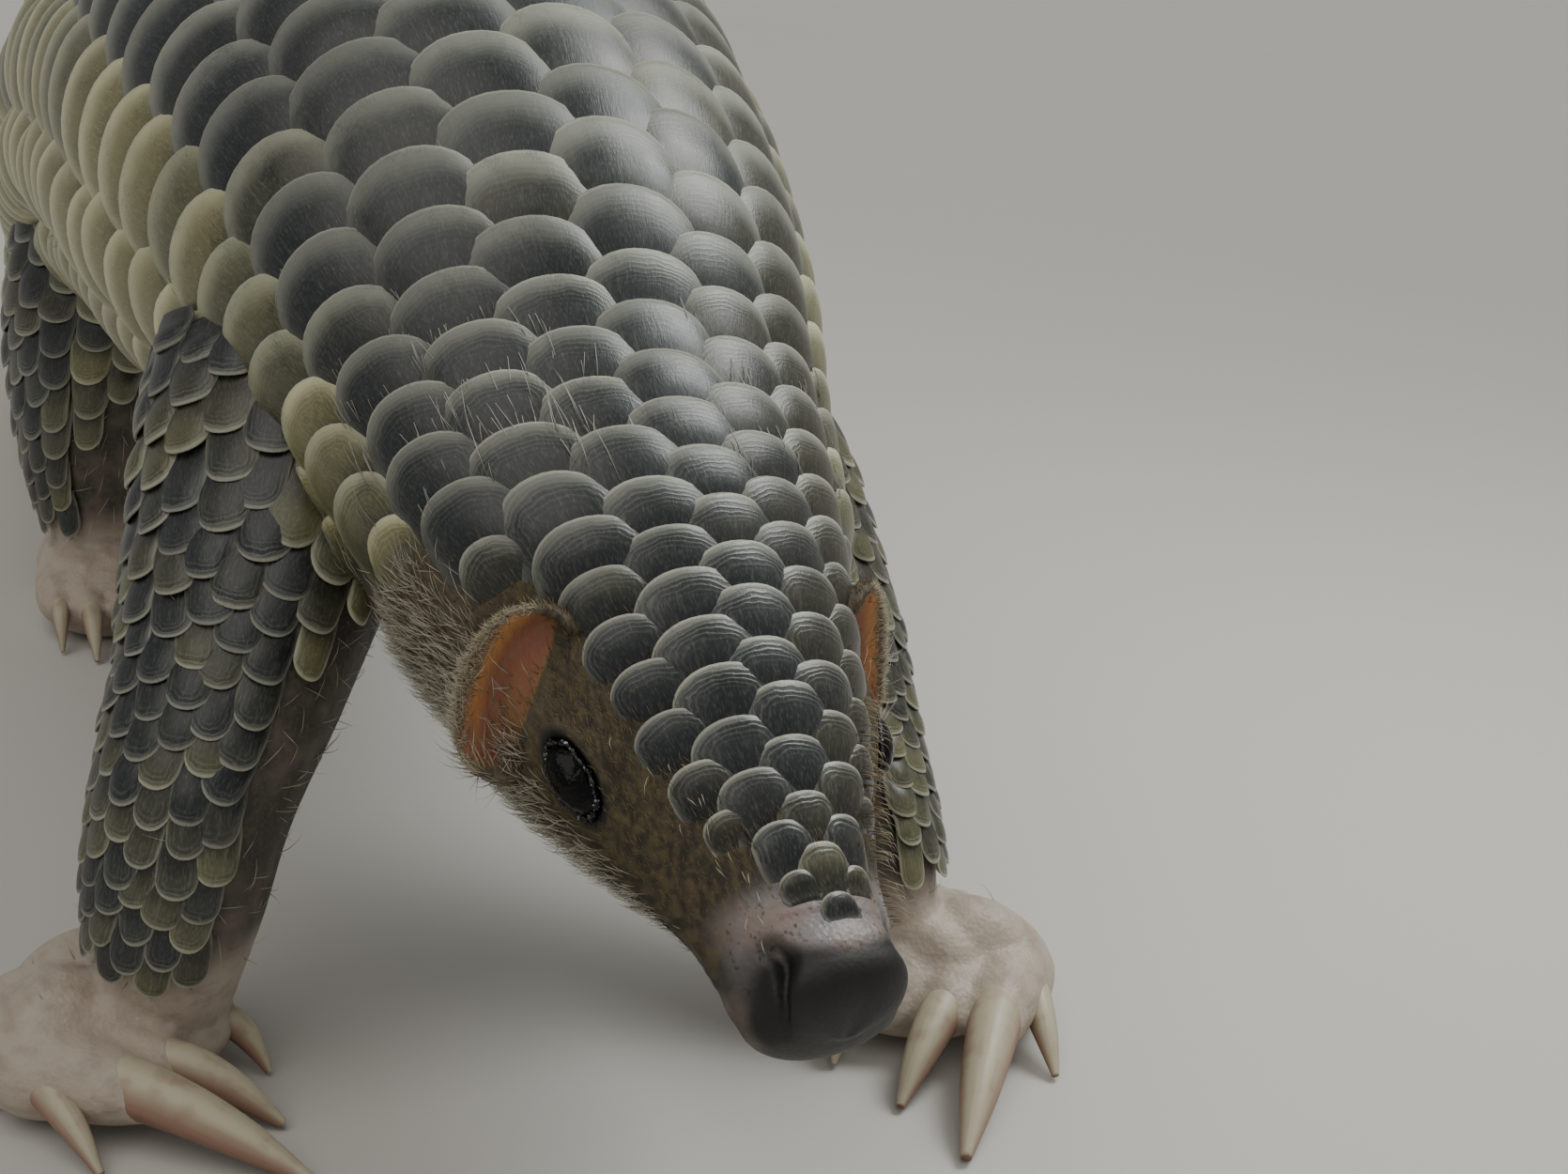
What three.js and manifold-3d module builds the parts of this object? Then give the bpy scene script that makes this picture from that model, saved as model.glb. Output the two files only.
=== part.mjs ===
// A life-size model of an adult Chinese pangolin, standing with its head lowered.
// Millimetres, +Z up. The animal faces -Y, its left side is +X, and its feet and tail rest on z = 0.
// Every part is a skin that runs along a centre line, and what it carries is placed on that skin.
import * as THREE from "three";
import { mergeVertices } from "three/addons/utils/BufferGeometryUtils.js";
import Module from "manifold-3d";

const wasm = await Module();
wasm.setup();

// Driving dimensions
const GAP = 0.3; // clearance that neighbouring parts keep
const FINENESS = 0.06; // detail smaller than this is smoothed away
const SCALE_LIFT = 3.5; // how far the tip of a scale stands above the skin
const SCALE_FLOOR = 0.3; // where the scales behind come out from under it
const COLUMN_ANGLE = THREE.MathUtils.degToRad(25); // between columns of scales round the body
const LEG_COLUMN_ANGLE = THREE.MathUtils.degToRad(36); // and round a leg
const ROW_SHARE = 0.5; // from one row to the next, in widths of a column
const HEAD_ROW = 5.4; // the least that this comes to on the head and body
const TIP_SHARE = 0.95; // how far the tips reach from their row towards the next
const LEG_REACH = THREE.MathUtils.degToRad(102); // how far round a leg its scales reach
const TAIL_AT = 445; // distance from the nose at which the tail begins
const TAIL_ROW = 14.5; // on the tail
const LEG_ROW = 7; // and on the legs
const HEAD_PITCH = THREE.MathUtils.degToRad(31); // how far the snout points below level
const LEAN = THREE.MathUtils.degToRad(5); // how far head and body roll to the animal's left
const NOSE = new THREE.Vector3(0, 0, 46); // centre of the nose pad's front
const EYE_RADIUS = 5.3;

const UP = new THREE.Vector3(0, 0, 1);
const SIDES = { right: -1, left: 1 };

const COLOURS = {
  scale: 0x6c6a63,
  nose: 0x4a4140,
  ear: 0xc98a68,
  eye: 0x0c0b0c,
  foot: 0xb49a8c,
  claw: 0xcdbf9f,
};

const radians = THREE.MathUtils.degToRad;

// Solids

// A three.js geometry as a manifold solid, turned right way out.
function solidOf(geometry) {
  const bare = geometry.clone();
  bare.deleteAttribute("normal");
  bare.deleteAttribute("uv");
  const merged = mergeVertices(bare, 1e-4);
  const triVerts = new Uint32Array(merged.index.array);
  const vertProperties = new Float32Array(merged.attributes.position.array);
  const make = () => new wasm.Manifold(new wasm.Mesh({ numProp: 3, vertProperties, triVerts }));
  const made = make();
  if (made.volume() > 0) return made;
  for (let i = 0; i < triVerts.length; i += 3) {
    [triVerts[i + 1], triVerts[i + 2]] = [triVerts[i + 2], triVerts[i + 1]];
  }
  return make();
}

const joined = (solids) => wasm.Manifold.union(solids);

// The largest closed surface of a solid, without loose scraps or sealed hollows.
function largest(solid) {
  const bodies = solid.decompose();
  return bodies.reduce((best, body) => (body.volume() > best.volume() ? body : best));
}

const aboveFloor = (solid) => solid.trimByPlane([0, 0, 1], 0);

// Skins

// Rows of numbers joined by a smooth curve, read at a distance along the first three of them.
class SmoothRows {
  constructor(rows) {
    this.rows = rows;
    this.at = [0];
    for (let i = 1; i < rows.length; i++) {
      const step = Math.hypot(...[0, 1, 2].map((k) => rows[i][k] - rows[i - 1][k]));
      this.at.push(this.at[i - 1] + step);
    }
    this.length = this.at[this.at.length - 1];
  }

  slope(i, k) {
    const before = Math.max(i - 1, 0);
    const after = Math.min(i + 1, this.rows.length - 1);
    return (this.rows[after][k] - this.rows[before][k]) / (this.at[after] - this.at[before]);
  }

  read(s) {
    const last = this.rows.length - 2;
    let i = 0;
    while (i < last && s > this.at[i + 1]) i++;
    const h = this.at[i + 1] - this.at[i];
    const t = THREE.MathUtils.clamp((s - this.at[i]) / h, -0.5, 1.5);
    const t2 = t * t;
    const t3 = t2 * t;
    return this.rows[i].map((before, k) => {
      const after = this.rows[i + 1][k];
      const leaving = this.slope(i, k) * h;
      const arriving = this.slope(i + 1, k) * h;
      return (
        (2 * t3 - 3 * t2 + 1) * before +
        (t3 - 2 * t2 + t) * leaving +
        (3 * t2 - 2 * t3) * after +
        (t3 - t2) * arriving
      );
    });
  }
}

// A skin round a centre line. Its rows are x, y, z, half width, height above and height below,
// and its angle 0 is the side that `top` points to.
class Skin {
  constructor(rows, top = UP) {
    this.line = new SmoothRows(rows);
    this.length = this.line.length;
    this.top = top;
  }

  frame(s) {
    const step = 0.5;
    const [x0, y0, z0] = this.line.read(s - step);
    const [x1, y1, z1] = this.line.read(s + step);
    const along = new THREE.Vector3(x1 - x0, y1 - y0, z1 - z0).normalize();
    const side = new THREE.Vector3().crossVectors(along, this.top).normalize();
    const up = new THREE.Vector3().crossVectors(side, along);
    return { along, side, up };
  }

  // A point at distance s and angle phi, raised by lift from the skin.
  point(s, phi, lift = 0) {
    const [x, y, z, width, above, below] = this.line.read(s);
    const { side, up } = this.frame(s);
    const height = Math.cos(phi) >= 0 ? above : below;
    const across = new THREE.Vector2(Math.sin(phi) / width, Math.cos(phi) / height).normalize();
    return new THREE.Vector3(x, y, z)
      .addScaledVector(side, width * Math.sin(phi) + lift * across.x)
      .addScaledVector(up, height * Math.cos(phi) + lift * across.y);
  }

  // Axes on the skin there: x tailward along it, z straight out of it.
  axes(s, phi) {
    const here = this.point(s, phi);
    const along = this.point(s + 1, phi).sub(this.point(s - 1, phi)).normalize();
    const out = this.point(s, phi, 1).sub(here);
    out.addScaledVector(along, -out.dot(along)).normalize();
    const across = new THREE.Vector3().crossVectors(out, along);
    return new THREE.Matrix4().makeBasis(along, across, out).setPosition(here);
  }

  radius(s) {
    const row = this.line.read(s);
    return (row[3] + row[4]) / 2;
  }

  // The solid that lies within rings of points: a drum bent along the skin. Each ring tells
  // where its point at an angle lies, as a distance and a lift.
  bent(rings, angles) {
    const drum = new THREE.CylinderGeometry(1, 1, 1, angles.length, rings.length - 1);
    const place = drum.attributes.position;
    for (let i = 0; i < place.count; i++) {
      const ring = rings[Math.round((0.5 - place.getY(i)) * (rings.length - 1))];
      const turn = Math.atan2(place.getX(i), place.getZ(i)) / (2 * Math.PI) + 1;
      const phi = angles[Math.round(turn * angles.length) % angles.length];
      const isRim = Math.hypot(place.getX(i), place.getZ(i)) > 0.5;
      const { s, lift } = ring(phi);
      const [x, y, z] = this.line.read(ring(Math.PI).s);
      const point = isRim ? this.point(s, phi, lift) : new THREE.Vector3(x, y, z);
      place.setXYZ(i, point.x, point.y, point.z);
    }
    return solidOf(drum);
  }

  // The plain solid through a list of distances.
  solid(stations, sides, lift = 0) {
    const angles = Array.from({ length: sides }, (_, i) => (2 * Math.PI * i) / sides);
    const rings = stations.map((s) => () => ({ s, lift }));
    return this.bent(rings, angles);
  }
}

// Evenly spaced distances from one to another.
const steps = (from, to, count) =>
  Array.from({ length: count + 1 }, (_, i) => from + ((to - from) * i) / count);

// A round bar along points, as thick as its radii say.
function bar(points, radii, rings, sides) {
  const rows = points.map((p, i) => [...p.toArray(), radii[i], radii[i], radii[i]]);
  const skin = new Skin(rows, new THREE.Vector3(0.3, 0.2, 1));
  return skin.solid(steps(0, skin.length, rings), sides);
}

// An egg with three half axes, placed by a matrix.
function egg(matrix, halves, offset, segments = 16) {
  const ball = new THREE.SphereGeometry(1, segments, Math.round(segments * 0.6));
  ball.scale(...halves);
  ball.translate(...offset);
  ball.applyMatrix4(matrix);
  return solidOf(ball);
}

// The spine, from nose pad to tail tip

// A row of the head, at a distance back along its pitched axis.
const headRow = (back, width, above, below) => [
  NOSE.x,
  NOSE.y + back * Math.cos(HEAD_PITCH),
  NOSE.z + back * Math.sin(HEAD_PITCH),
  width,
  above,
  below,
];

const spine = new Skin(
  [
    headRow(0, 7, 6, 5.5),
    headRow(2.5, 12, 10, 9),
    headRow(8, 14.5, 12.5, 11.5),
    headRow(15, 15.5, 13, 12),
    headRow(24, 17.5, 14.5, 13),
    headRow(38, 23.5, 18, 17.5),
    headRow(55, 30, 23, 24),
    headRow(74, 36, 27.5, 29),
    headRow(92, 41, 31, 34),
    [2, 104, 107, 47, 35, 39],
    [5, 134, 121, 55, 47, 47],
    [9, 172, 130, 63, 61, 54],
    [15, 218, 134, 70, 72, 58],
    [23, 270, 134, 73, 77, 60],
    [28, 325, 128, 72, 76, 58],
    [30, 378, 111, 66, 67, 53],
    [31, 425, 84, 56, 52, 42],
    [33, 468, 57, 50, 37, 30],
    [40, 520, 34, 46, 26, 22],
    [52, 585, 20, 42, 18, 16],
    [68, 655, 16, 36, 14, 12.5],
    [84, 715, 13.5, 28, 11, 10],
    [95, 752, 10.5, 18, 8, 7.5],
    [100, 768, 8, 7, 5, 5],
  ],
  new THREE.Vector3(Math.sin(LEAN), 0, Math.cos(LEAN)),
);

// Its lengths, in order, each a node
const LENGTHS = [
  { name: "nose", from: 0, to: 13 },
  { name: "head", from: 13, to: 88 },
  { name: "neck", from: 88, to: 128 },
  { name: "torso_front", from: 128, to: 215 },
  { name: "torso_middle", from: 215, to: 315 },
  { name: "torso_rear", from: 315, to: TAIL_AT },
  { name: "tail_base", from: TAIL_AT, to: 530 },
  { name: "tail_middle", from: 530, to: 640 },
  { name: "tail_end", from: 640, to: spine.length },
];

const HAUNCH_AT = 380; // distance from the nose along the spine
const HINDFOOT_OUT = 51; // hind feet from the body's middle line
const HINDFEET_Y = { right: 350, left: 380 };

// Legs, each from inside the body down into its foot
const LEGS = {
  foreleg_right: new Skin(
    [
      [-34, 146, 112, 30, 26, 24],
      [-47, 128, 92, 26, 21, 23],
      [-57, 116, 73, 21.5, 18, 20],
      [-67, 108, 53, 18, 16, 18],
      [-72, 106, 33, 16, 15, 16],
      [-74, 108, 16, 13, 12, 13],
    ],
    new THREE.Vector3(-1, -0.9, 0.2),
  ),
  foreleg_left: new Skin(
    [
      [40, 150, 112, 30, 26, 24],
      [51, 128, 90, 25, 20, 22],
      [56, 112, 68, 20, 17, 19],
      [56, 96, 46, 17, 15.5, 17],
      [55, 82, 28, 15.5, 14.5, 15.5],
      [56, 77, 16, 13, 12, 13],
    ],
    new THREE.Vector3(1, -0.9, 0.2),
  ),
  hindleg_right: hindlegSkin(-1, HINDFEET_Y.right),
  hindleg_left: hindlegSkin(1, HINDFEET_Y.left),
};

// A hind leg, from the haunch to a foot at distance y behind the nose.
function hindlegSkin(side, y) {
  const middle = spine.line.read(HAUNCH_AT)[0];
  return new Skin(
    [
      [middle + side * 32, y + 14, 98, 38, 34, 28],
      [middle + side * 42, y + 12, 74, 35, 29, 27],
      [middle + side * 49, y + 7, 50, 27, 22, 23],
      [middle + side * HINDFOOT_OUT, y + 4, 30, 19, 17, 18],
      [middle + side * HINDFOOT_OUT, y + 4, 15, 14, 13, 14],
    ],
    new THREE.Vector3(side, 0, 0.2),
  );
}

// Feet: rows are distance ahead of the centre, height, half width, above and below
const FOREFOOT_ROWS = [
  [-19, 8, 11, 8, 8],
  [-12, 10, 17, 13, 11],
  [-2, 11, 20.5, 15, 12],
  [7, 11, 22.5, 13, 12],
  [14, 10, 21.5, 9.5, 10.5],
  [18, 8.5, 17, 5.5, 7.5],
];
const HINDFOOT_ROWS = [
  [-27, 8, 11, 8, 8],
  [-17, 11, 16, 14, 12],
  [0, 11, 19, 14, 12],
  [12, 9.5, 20.5, 11, 11],
  [20, 8, 19, 8, 9],
  [25, 6.5, 14, 4, 6.5],
];

// Claws from the innermost: distance across from the foot's middle, how far back of its front the
// claw comes out, length, thickness, and the angle that it turns inward
const FORE_CLAWS = [
  { across: -15, back: 10, length: 11, thick: 3.2, inward: 49 },
  { across: 2, back: 2, length: 28, thick: 4.6, inward: 52 },
  { across: 14, back: 3, length: 50, thick: 5.6, inward: 41 },
  { across: 20, back: 9, length: 28, thick: 3.8, inward: 17 },
  { across: 20, back: 22, length: 12, thick: 2.6, inward: -14 },
];
const HIND_CLAWS = [
  { across: -15, back: 5, length: 11, thick: 2.6, inward: 4 },
  { across: -8, back: 1, length: 16, thick: 3, inward: 2 },
  { across: 0, back: 0, length: 18, thick: 3.2, inward: 0 },
  { across: 8, back: 1, length: 16, thick: 3, inward: -3 },
  { across: 15, back: 5, length: 11, thick: 2.6, inward: -6 },
];

// Where each foot stands, and the angle that it turns inward
const FEET = {
  forefoot_right: { x: -81, y: 113, turn: 0, side: -1, rows: FOREFOOT_ROWS, claws: FORE_CLAWS },
  forefoot_left: { x: 60, y: 74, turn: 0, side: 1, rows: FOREFOOT_ROWS, claws: FORE_CLAWS },
  hindfoot_right: hindfoot(-1, HINDFEET_Y.right, -6),
  hindfoot_left: hindfoot(1, HINDFEET_Y.left, -8),
};

function hindfoot(side, y, turn) {
  const x = spine.line.read(HAUNCH_AT)[0] + side * HINDFOOT_OUT;
  return { x, y, turn, side, rows: HINDFOOT_ROWS, claws: HIND_CLAWS };
}

// A point by a foot: ahead of its centre, across towards the outside, and up.
function byFoot({ x, y, turn, side }, ahead, across, height) {
  const angle = radians(turn);
  return new THREE.Vector3(
    x + side * (across * Math.cos(angle) - ahead * Math.sin(angle)),
    y - ahead * Math.cos(angle) - across * Math.sin(angle),
    height,
  );
}

function footSolid(foot, lift = 0) {
  const rows = foot.rows.map(([ahead, height, ...sizes]) => [
    ...byFoot(foot, ahead, 0, height).toArray(),
    ...sizes,
  ]);
  const skin = new Skin(rows);
  return skin.solid(steps(0, skin.length, 6), 14, lift);
}

// A claw arches forward out of the foot and comes down to just above the floor.
function clawSolid(foot, { across, back, length, thick, inward }, lift = 0) {
  const front = foot.rows[foot.rows.length - 1][0];
  const ahead = front - back;
  const reaches = [-5 / length, 0.1, 0.4, 0.72, 1];
  const heights = [8, 10, 9.5, 6, 1];
  const radii = [0.9, 1, 0.85, 0.55, 0.12].map((share) => share * thick);
  const angle = radians(inward);
  const points = reaches.map((reach, i) => {
    const forward = reach * length * Math.cos(angle);
    const sideways = reach * length * Math.sin(angle);
    return byFoot(foot, ahead + forward, across - sideways, Math.max(heights[i], radii[i] + GAP));
  });
  return bar(points, radii.map((radius) => radius + lift), 5, 6);
}

// Places on the head, as distance from the nose and angle from the top
const EYE_PLACE = { s: 49, phi: radians(79) };
const EAR_PLACE = { s: 66, phi: radians(85) };

const eyeAxes = (side) => spine.axes(EYE_PLACE.s, side * EYE_PLACE.phi);
const EYE_SINK = 2.4;

const eyeSolid = (side, lift = 0) => {
  const radius = EYE_RADIUS + lift;
  return egg(eyeAxes(side), [radius, radius, radius], [0, 0, -EYE_SINK], 11);
};

// The rim of the lids round an eye.
function lidSolid(side) {
  const ring = new THREE.TorusGeometry(EYE_RADIUS * 0.93, 1.7, 5, 12);
  ring.scale(1.25, 0.92, 1);
  ring.applyMatrix4(eyeAxes(side));
  return solidOf(ring);
}

const earAxes = (side) => spine.axes(EAR_PLACE.s, side * EAR_PLACE.phi);
const earShell = (side, lift = 0) =>
  egg(earAxes(side), [7 + lift, 14.5 + lift, 9 + lift], [0, 0, 1], 12);

// An ear: a crescent cup that opens forward and outward.
function earSolid(side) {
  const hollow = egg(earAxes(side), [6, 12, 9], [-4.2, 0, 3.2], 10);
  return earShell(side).subtract(hollow);
}

// The slit of the mouth along one side of the snout.
function mouthSlit(side) {
  const places = [
    [12, 178],
    [14, 150],
    [20, 122],
    [30, 116],
    [40, 112],
  ];
  const points = places.map(([s, phi]) => spine.point(s, side * radians(phi), 0.2));
  return bar(points, [1.1, 1.1, 1.1, 1, 0.6], 7, 4);
}

// A comma-shaped nostril on one side of the nose pad.
function nostril(side) {
  const places = [
    [1.6, 40, 0],
    [3.4, 66, 0.2],
    [5.6, 88, 0.4],
    [8.6, 100, 0.6],
  ];
  const points = places.map(([s, phi, lift]) => spine.point(s, side * radians(phi), lift));
  return bar(points, [1.7, 2, 1.5, 0.7], 5, 5);
}

// Scales

// The rim of a row of scales, from a tip (u = 0) to the notch beside it (u = 1): how far it
// reaches towards the tail, and how far it stands out, as shares of the whole.
const rimReach = (u) => 1 - Math.pow(u, 1.85);
const rimLift = (u) => 1 - 0.9 * Math.pow(u, 2.7);

// The rings of a row of scales: its raised rim, and the foot of the step down behind it.
// Each row has its tips on every other column, and the next row on those between.
function scaleRow(layout, s, row, grow) {
  const { pitch, reach } = layout;
  const advance = layout.advance(s);
  const onRow = (phi) => {
    const turned = Math.atan2(Math.sin(phi), Math.cos(phi));
    const fromTip = THREE.MathUtils.euclideanModulo(turned / pitch - row, 2);
    const scaled = THREE.MathUtils.smoothstep(reach(s) - Math.abs(turned), -pitch / 4, pitch / 4);
    return { u: Math.min(fromTip, 2 - fromTip), scaled };
  };
  const rim = (phi) => {
    const { u, scaled } = onRow(phi);
    const lift = (SCALE_LIFT * rimLift(u) - SCALE_FLOOR) * scaled + SCALE_FLOOR;
    return { s: s + grow + TIP_SHARE * advance * rimReach(u) * scaled, lift: lift + grow };
  };
  const foot = (phi) => {
    const { scaled } = onRow(phi);
    const step = THREE.MathUtils.lerp(0.4, 0.02, scaled) * advance;
    return { s: rim(phi).s + step, lift: SCALE_FLOOR + grow };
  };
  return [rim, foot];
}

// All rows from one distance to another.
function scaleRows(layout, grow) {
  const rings = [];
  let s = layout.from;
  for (let row = 0; s < layout.to; row++) {
    rings.push(...scaleRow(layout, s, row, grow));
    s += layout.advance(s);
  }
  return rings;
}

// Angles round a skin: two to a column where there are scales, and a few between, underneath.
function scaleAngles(pitch, columns, under) {
  const scaled = steps(-columns * pitch, columns * pitch, columns * 4);
  const bare = steps(columns * pitch, 2 * Math.PI - columns * pitch, under + 1).slice(1, -1);
  const all = [...scaled, ...bare];
  const top = scaled.length >> 1;
  return [...all.slice(top), ...all.slice(0, top)];
}

// How far round the spine the scales reach, at distances along it
const SPINE_REACH = [
  [0, 0],
  [18, 0],
  [34, 44],
  [70, 56],
  [84, 66],
  [110, 105],
  [170, 130],
  [900, 130],
];

function spineReach(s) {
  const next = SPINE_REACH.findIndex(([at]) => at > s);
  const [s0, reach0] = SPINE_REACH[next - 1];
  const [s1, reach1] = SPINE_REACH[next];
  return radians(THREE.MathUtils.mapLinear(s, s0, s1, reach0, reach1));
}

const plainRings = (stations, grow) => stations.map((s) => () => ({ s, lift: grow }));

// The spine with its scales, grown by a clearance where its neighbours are cut clear of it.
function spineSolid(grow = 0) {
  const layout = {
    from: 25,
    to: spine.length - 14,
    pitch: COLUMN_ANGLE,
    reach: spineReach,
    advance: (s) => {
      const least = s > TAIL_AT ? TAIL_ROW : HEAD_ROW;
      return Math.max(ROW_SHARE * COLUMN_ANGLE * spine.radius(s), least);
    },
  };
  const rings = [
    ...plainRings([0, 1.2, 4.5, 9.5, 16, 22], grow),
    ...scaleRows(layout, grow),
    ...plainRings([spine.length - 1, spine.length], grow),
  ];
  return spine.bent(rings, scaleAngles(COLUMN_ANGLE, 5, 3));
}

function legSolid(skin) {
  const layout = {
    from: 30,
    to: skin.length - 14,
    pitch: LEG_COLUMN_ANGLE,
    reach: () => LEG_REACH,
    advance: (s) => Math.max(ROW_SHARE * LEG_COLUMN_ANGLE * skin.radius(s), LEG_ROW),
  };
  const rings = [
    ...plainRings([0, 20], 0),
    ...scaleRows(layout, 0),
    ...plainRings([skin.length - 3, skin.length], 0),
  ];
  return skin.bent(rings, scaleAngles(LEG_COLUMN_ANGLE, 3, 2));
}

// Building the nodes

const SLAB_LIFT = 20; // how far the slabs that part the spine stand out of its skin

const root = new THREE.Group();

// Adds a solid to the model as a named mesh.
function addNode(name, solid, colour, roughness = 0.6) {
  const tidied = largest(solid).simplify(FINENESS);
  const { numProp, vertProperties, triVerts, numVert } = tidied.getMesh();
  const position = new Float32Array(numVert * 3);
  for (let i = 0; i < numVert; i++) {
    position.set(vertProperties.subarray(i * numProp, i * numProp + 3), i * 3);
  }
  const geometry = new THREE.BufferGeometry();
  geometry.setAttribute("position", new THREE.BufferAttribute(position, 3));
  geometry.setIndex(new THREE.BufferAttribute(triVerts, 1));
  geometry.computeVertexNormals();
  const material = new THREE.MeshStandardMaterial({ color: colour, roughness, metalness: 0 });
  const mesh = new THREE.Mesh(geometry, material);
  mesh.name = name;
  root.add(mesh);
}

// Head features that are cut into or fused to a length of the spine
const FEATURES = {
  nose: (solid) => solid.subtract(joined(Object.values(SIDES).map(nostril))),
  head: (solid) =>
    solid
      .add(joined(Object.values(SIDES).map(lidSolid)))
      .subtract(joined(Object.values(SIDES).map((side) => eyeSolid(side, GAP))))
      .subtract(joined(Object.values(SIDES).map(mouthSlit))),
};

const body = spineSolid();
for (const { name, from, to } of LENGTHS) {
  const slab = spine.solid(steps(from + GAP / 2, to - GAP / 2, 3), 12, SLAB_LIFT);
  const length = body.intersect(slab);
  const solid = FEATURES[name] ? FEATURES[name](length) : length;
  addNode(name, aboveFloor(solid), name === "nose" ? COLOURS.nose : COLOURS.scale);
}

const grownBody = spineSolid(GAP);
for (const [name, side] of Object.entries(SIDES)) {
  addNode(`eye_${name}`, eyeSolid(side), COLOURS.eye, 0.1);
  addNode(`ear_${name}`, earSolid(side).subtract(grownBody), COLOURS.ear);
}

for (const [name, skin] of Object.entries(LEGS)) {
  const foot = FEET[name.replace("leg", "foot")];
  const solid = legSolid(skin).subtract(grownBody).subtract(footSolid(foot, GAP));
  addNode(name, aboveFloor(solid), COLOURS.scale);
}

for (const [name, foot] of Object.entries(FEET)) {
  addNode(name, aboveFloor(footSolid(foot)), COLOURS.foot);
  const clear = [footSolid(foot, GAP)];
  foot.claws.forEach((claw, i) => {
    const solid = clawSolid(foot, claw).subtract(joined(clear));
    addNode(`${name}_claw_${i + 1}`, aboveFloor(solid), COLOURS.claw, 0.4);
    clear.push(clawSolid(foot, claw, GAP));
  });
}

// The origin is the middle of the ground that the model covers
const bounds = new THREE.Box3().setFromObject(root);
const middle = bounds.getCenter(new THREE.Vector3());
root.position.set(-middle.x, -middle.y, -bounds.min.z);

export default root;
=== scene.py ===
"""A life-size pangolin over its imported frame: skin, scales, fur, eyes and claws, a camera and soft light.

The classes work in millimetres, in the animal's own axes: it faces -Y, its left side is +X and it stands
on z = 0. Meshes are made in metres, in the frame's axes, whose origin is the middle of the ground it covers.
"""
import logging
import math
from dataclasses import dataclass, field
from enum import Enum
from typing import Callable, Iterable, Sequence, Union

import bpy
import numpy as np
from mathutils import Matrix, Vector


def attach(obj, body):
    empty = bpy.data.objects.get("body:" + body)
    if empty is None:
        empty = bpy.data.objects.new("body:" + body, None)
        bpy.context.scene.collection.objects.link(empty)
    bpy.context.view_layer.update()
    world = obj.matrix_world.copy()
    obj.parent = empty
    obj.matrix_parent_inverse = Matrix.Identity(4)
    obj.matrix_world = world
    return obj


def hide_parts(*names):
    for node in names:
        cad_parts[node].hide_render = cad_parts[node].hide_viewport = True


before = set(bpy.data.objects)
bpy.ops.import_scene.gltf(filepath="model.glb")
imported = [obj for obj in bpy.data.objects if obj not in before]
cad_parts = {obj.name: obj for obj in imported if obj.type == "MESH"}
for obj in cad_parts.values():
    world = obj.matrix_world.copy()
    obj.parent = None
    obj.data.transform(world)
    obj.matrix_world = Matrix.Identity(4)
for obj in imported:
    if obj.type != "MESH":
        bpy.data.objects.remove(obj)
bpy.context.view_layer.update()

Array = np.ndarray
Draws = np.random.Generator
Piece = bpy.types.Object
Number = Union[int, float]

log = logging.getLogger("pangolin")

SEED = 29
MILLIMETRE = 0.001
GROUND_CENTRE = np.array([4.8186, 383.4845, 0.0])
SIDES = {"right": -1, "left": 1}
FLOOR_GAP = 0.2


class Slot(Enum):
    """Material slots."""

    SCALES = "scales"
    NOSE = "nose"
    EAR = "ear"
    EYE = "eye"
    FOOT = "foot"
    CLAW = "claw"


def smoothstep(value: Array, low: float, high: float) -> Array:
    """Rises smoothly from 0 at low to 1 at high."""
    t = np.clip((np.asarray(value, float) - low) / (high - low), 0.0, 1.0)
    return t * t * (3.0 - 2.0 * t)


def unit(vectors: Array) -> Array:
    """Vectors along the last axis, made one long."""
    return vectors / np.maximum(np.linalg.norm(vectors, axis=-1, keepdims=True), 1e-9)


def in_frame(points: Array) -> Array:
    """Millimetres in the animal's axes as metres in the frame."""
    return (np.asarray(points, float) - GROUND_CENTRE) * MILLIMETRE


# Skins


class SmoothRows:
    """Rows of numbers joined by a smooth curve, read at a distance along the first three of them."""

    def __init__(self, rows: Sequence[Sequence[Number]]) -> None:
        """Keeps the rows, their distances and their slopes.

        Args:
            rows: the rows, each of which starts with its place.
        """
        self.rows = np.array(rows, float)
        steps = np.linalg.norm(np.diff(self.rows[:, :3], axis=0), axis=1)
        self.at = np.concatenate([[0.0], np.cumsum(steps)])
        last = len(self.rows) - 1
        before = np.maximum(np.arange(last + 1) - 1, 0)
        after = np.minimum(np.arange(last + 1) + 1, last)
        self.slopes = (self.rows[after] - self.rows[before]) / (self.at[after] - self.at[before])[:, None]

    def read(self, s: Array) -> Array:
        """The row at each distance.

        Args:
            s: distances from the first row.
        Returns:
            An array with one more axis than s.
        """
        s = np.asarray(s, float)
        i = np.clip(np.searchsorted(self.at, s, side="left") - 1, 0, len(self.at) - 2)
        h = (self.at[i + 1] - self.at[i])[..., None]
        t = np.clip((s - self.at[i])[..., None] / h, -0.5, 1.5)
        t2, t3 = t * t, t * t * t
        return (
            (2 * t3 - 3 * t2 + 1) * self.rows[i]
            + (t3 - 2 * t2 + t) * h * self.slopes[i]
            + (3 * t2 - 2 * t3) * self.rows[i + 1]
            + (t3 - t2) * h * self.slopes[i + 1]
        )


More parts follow.
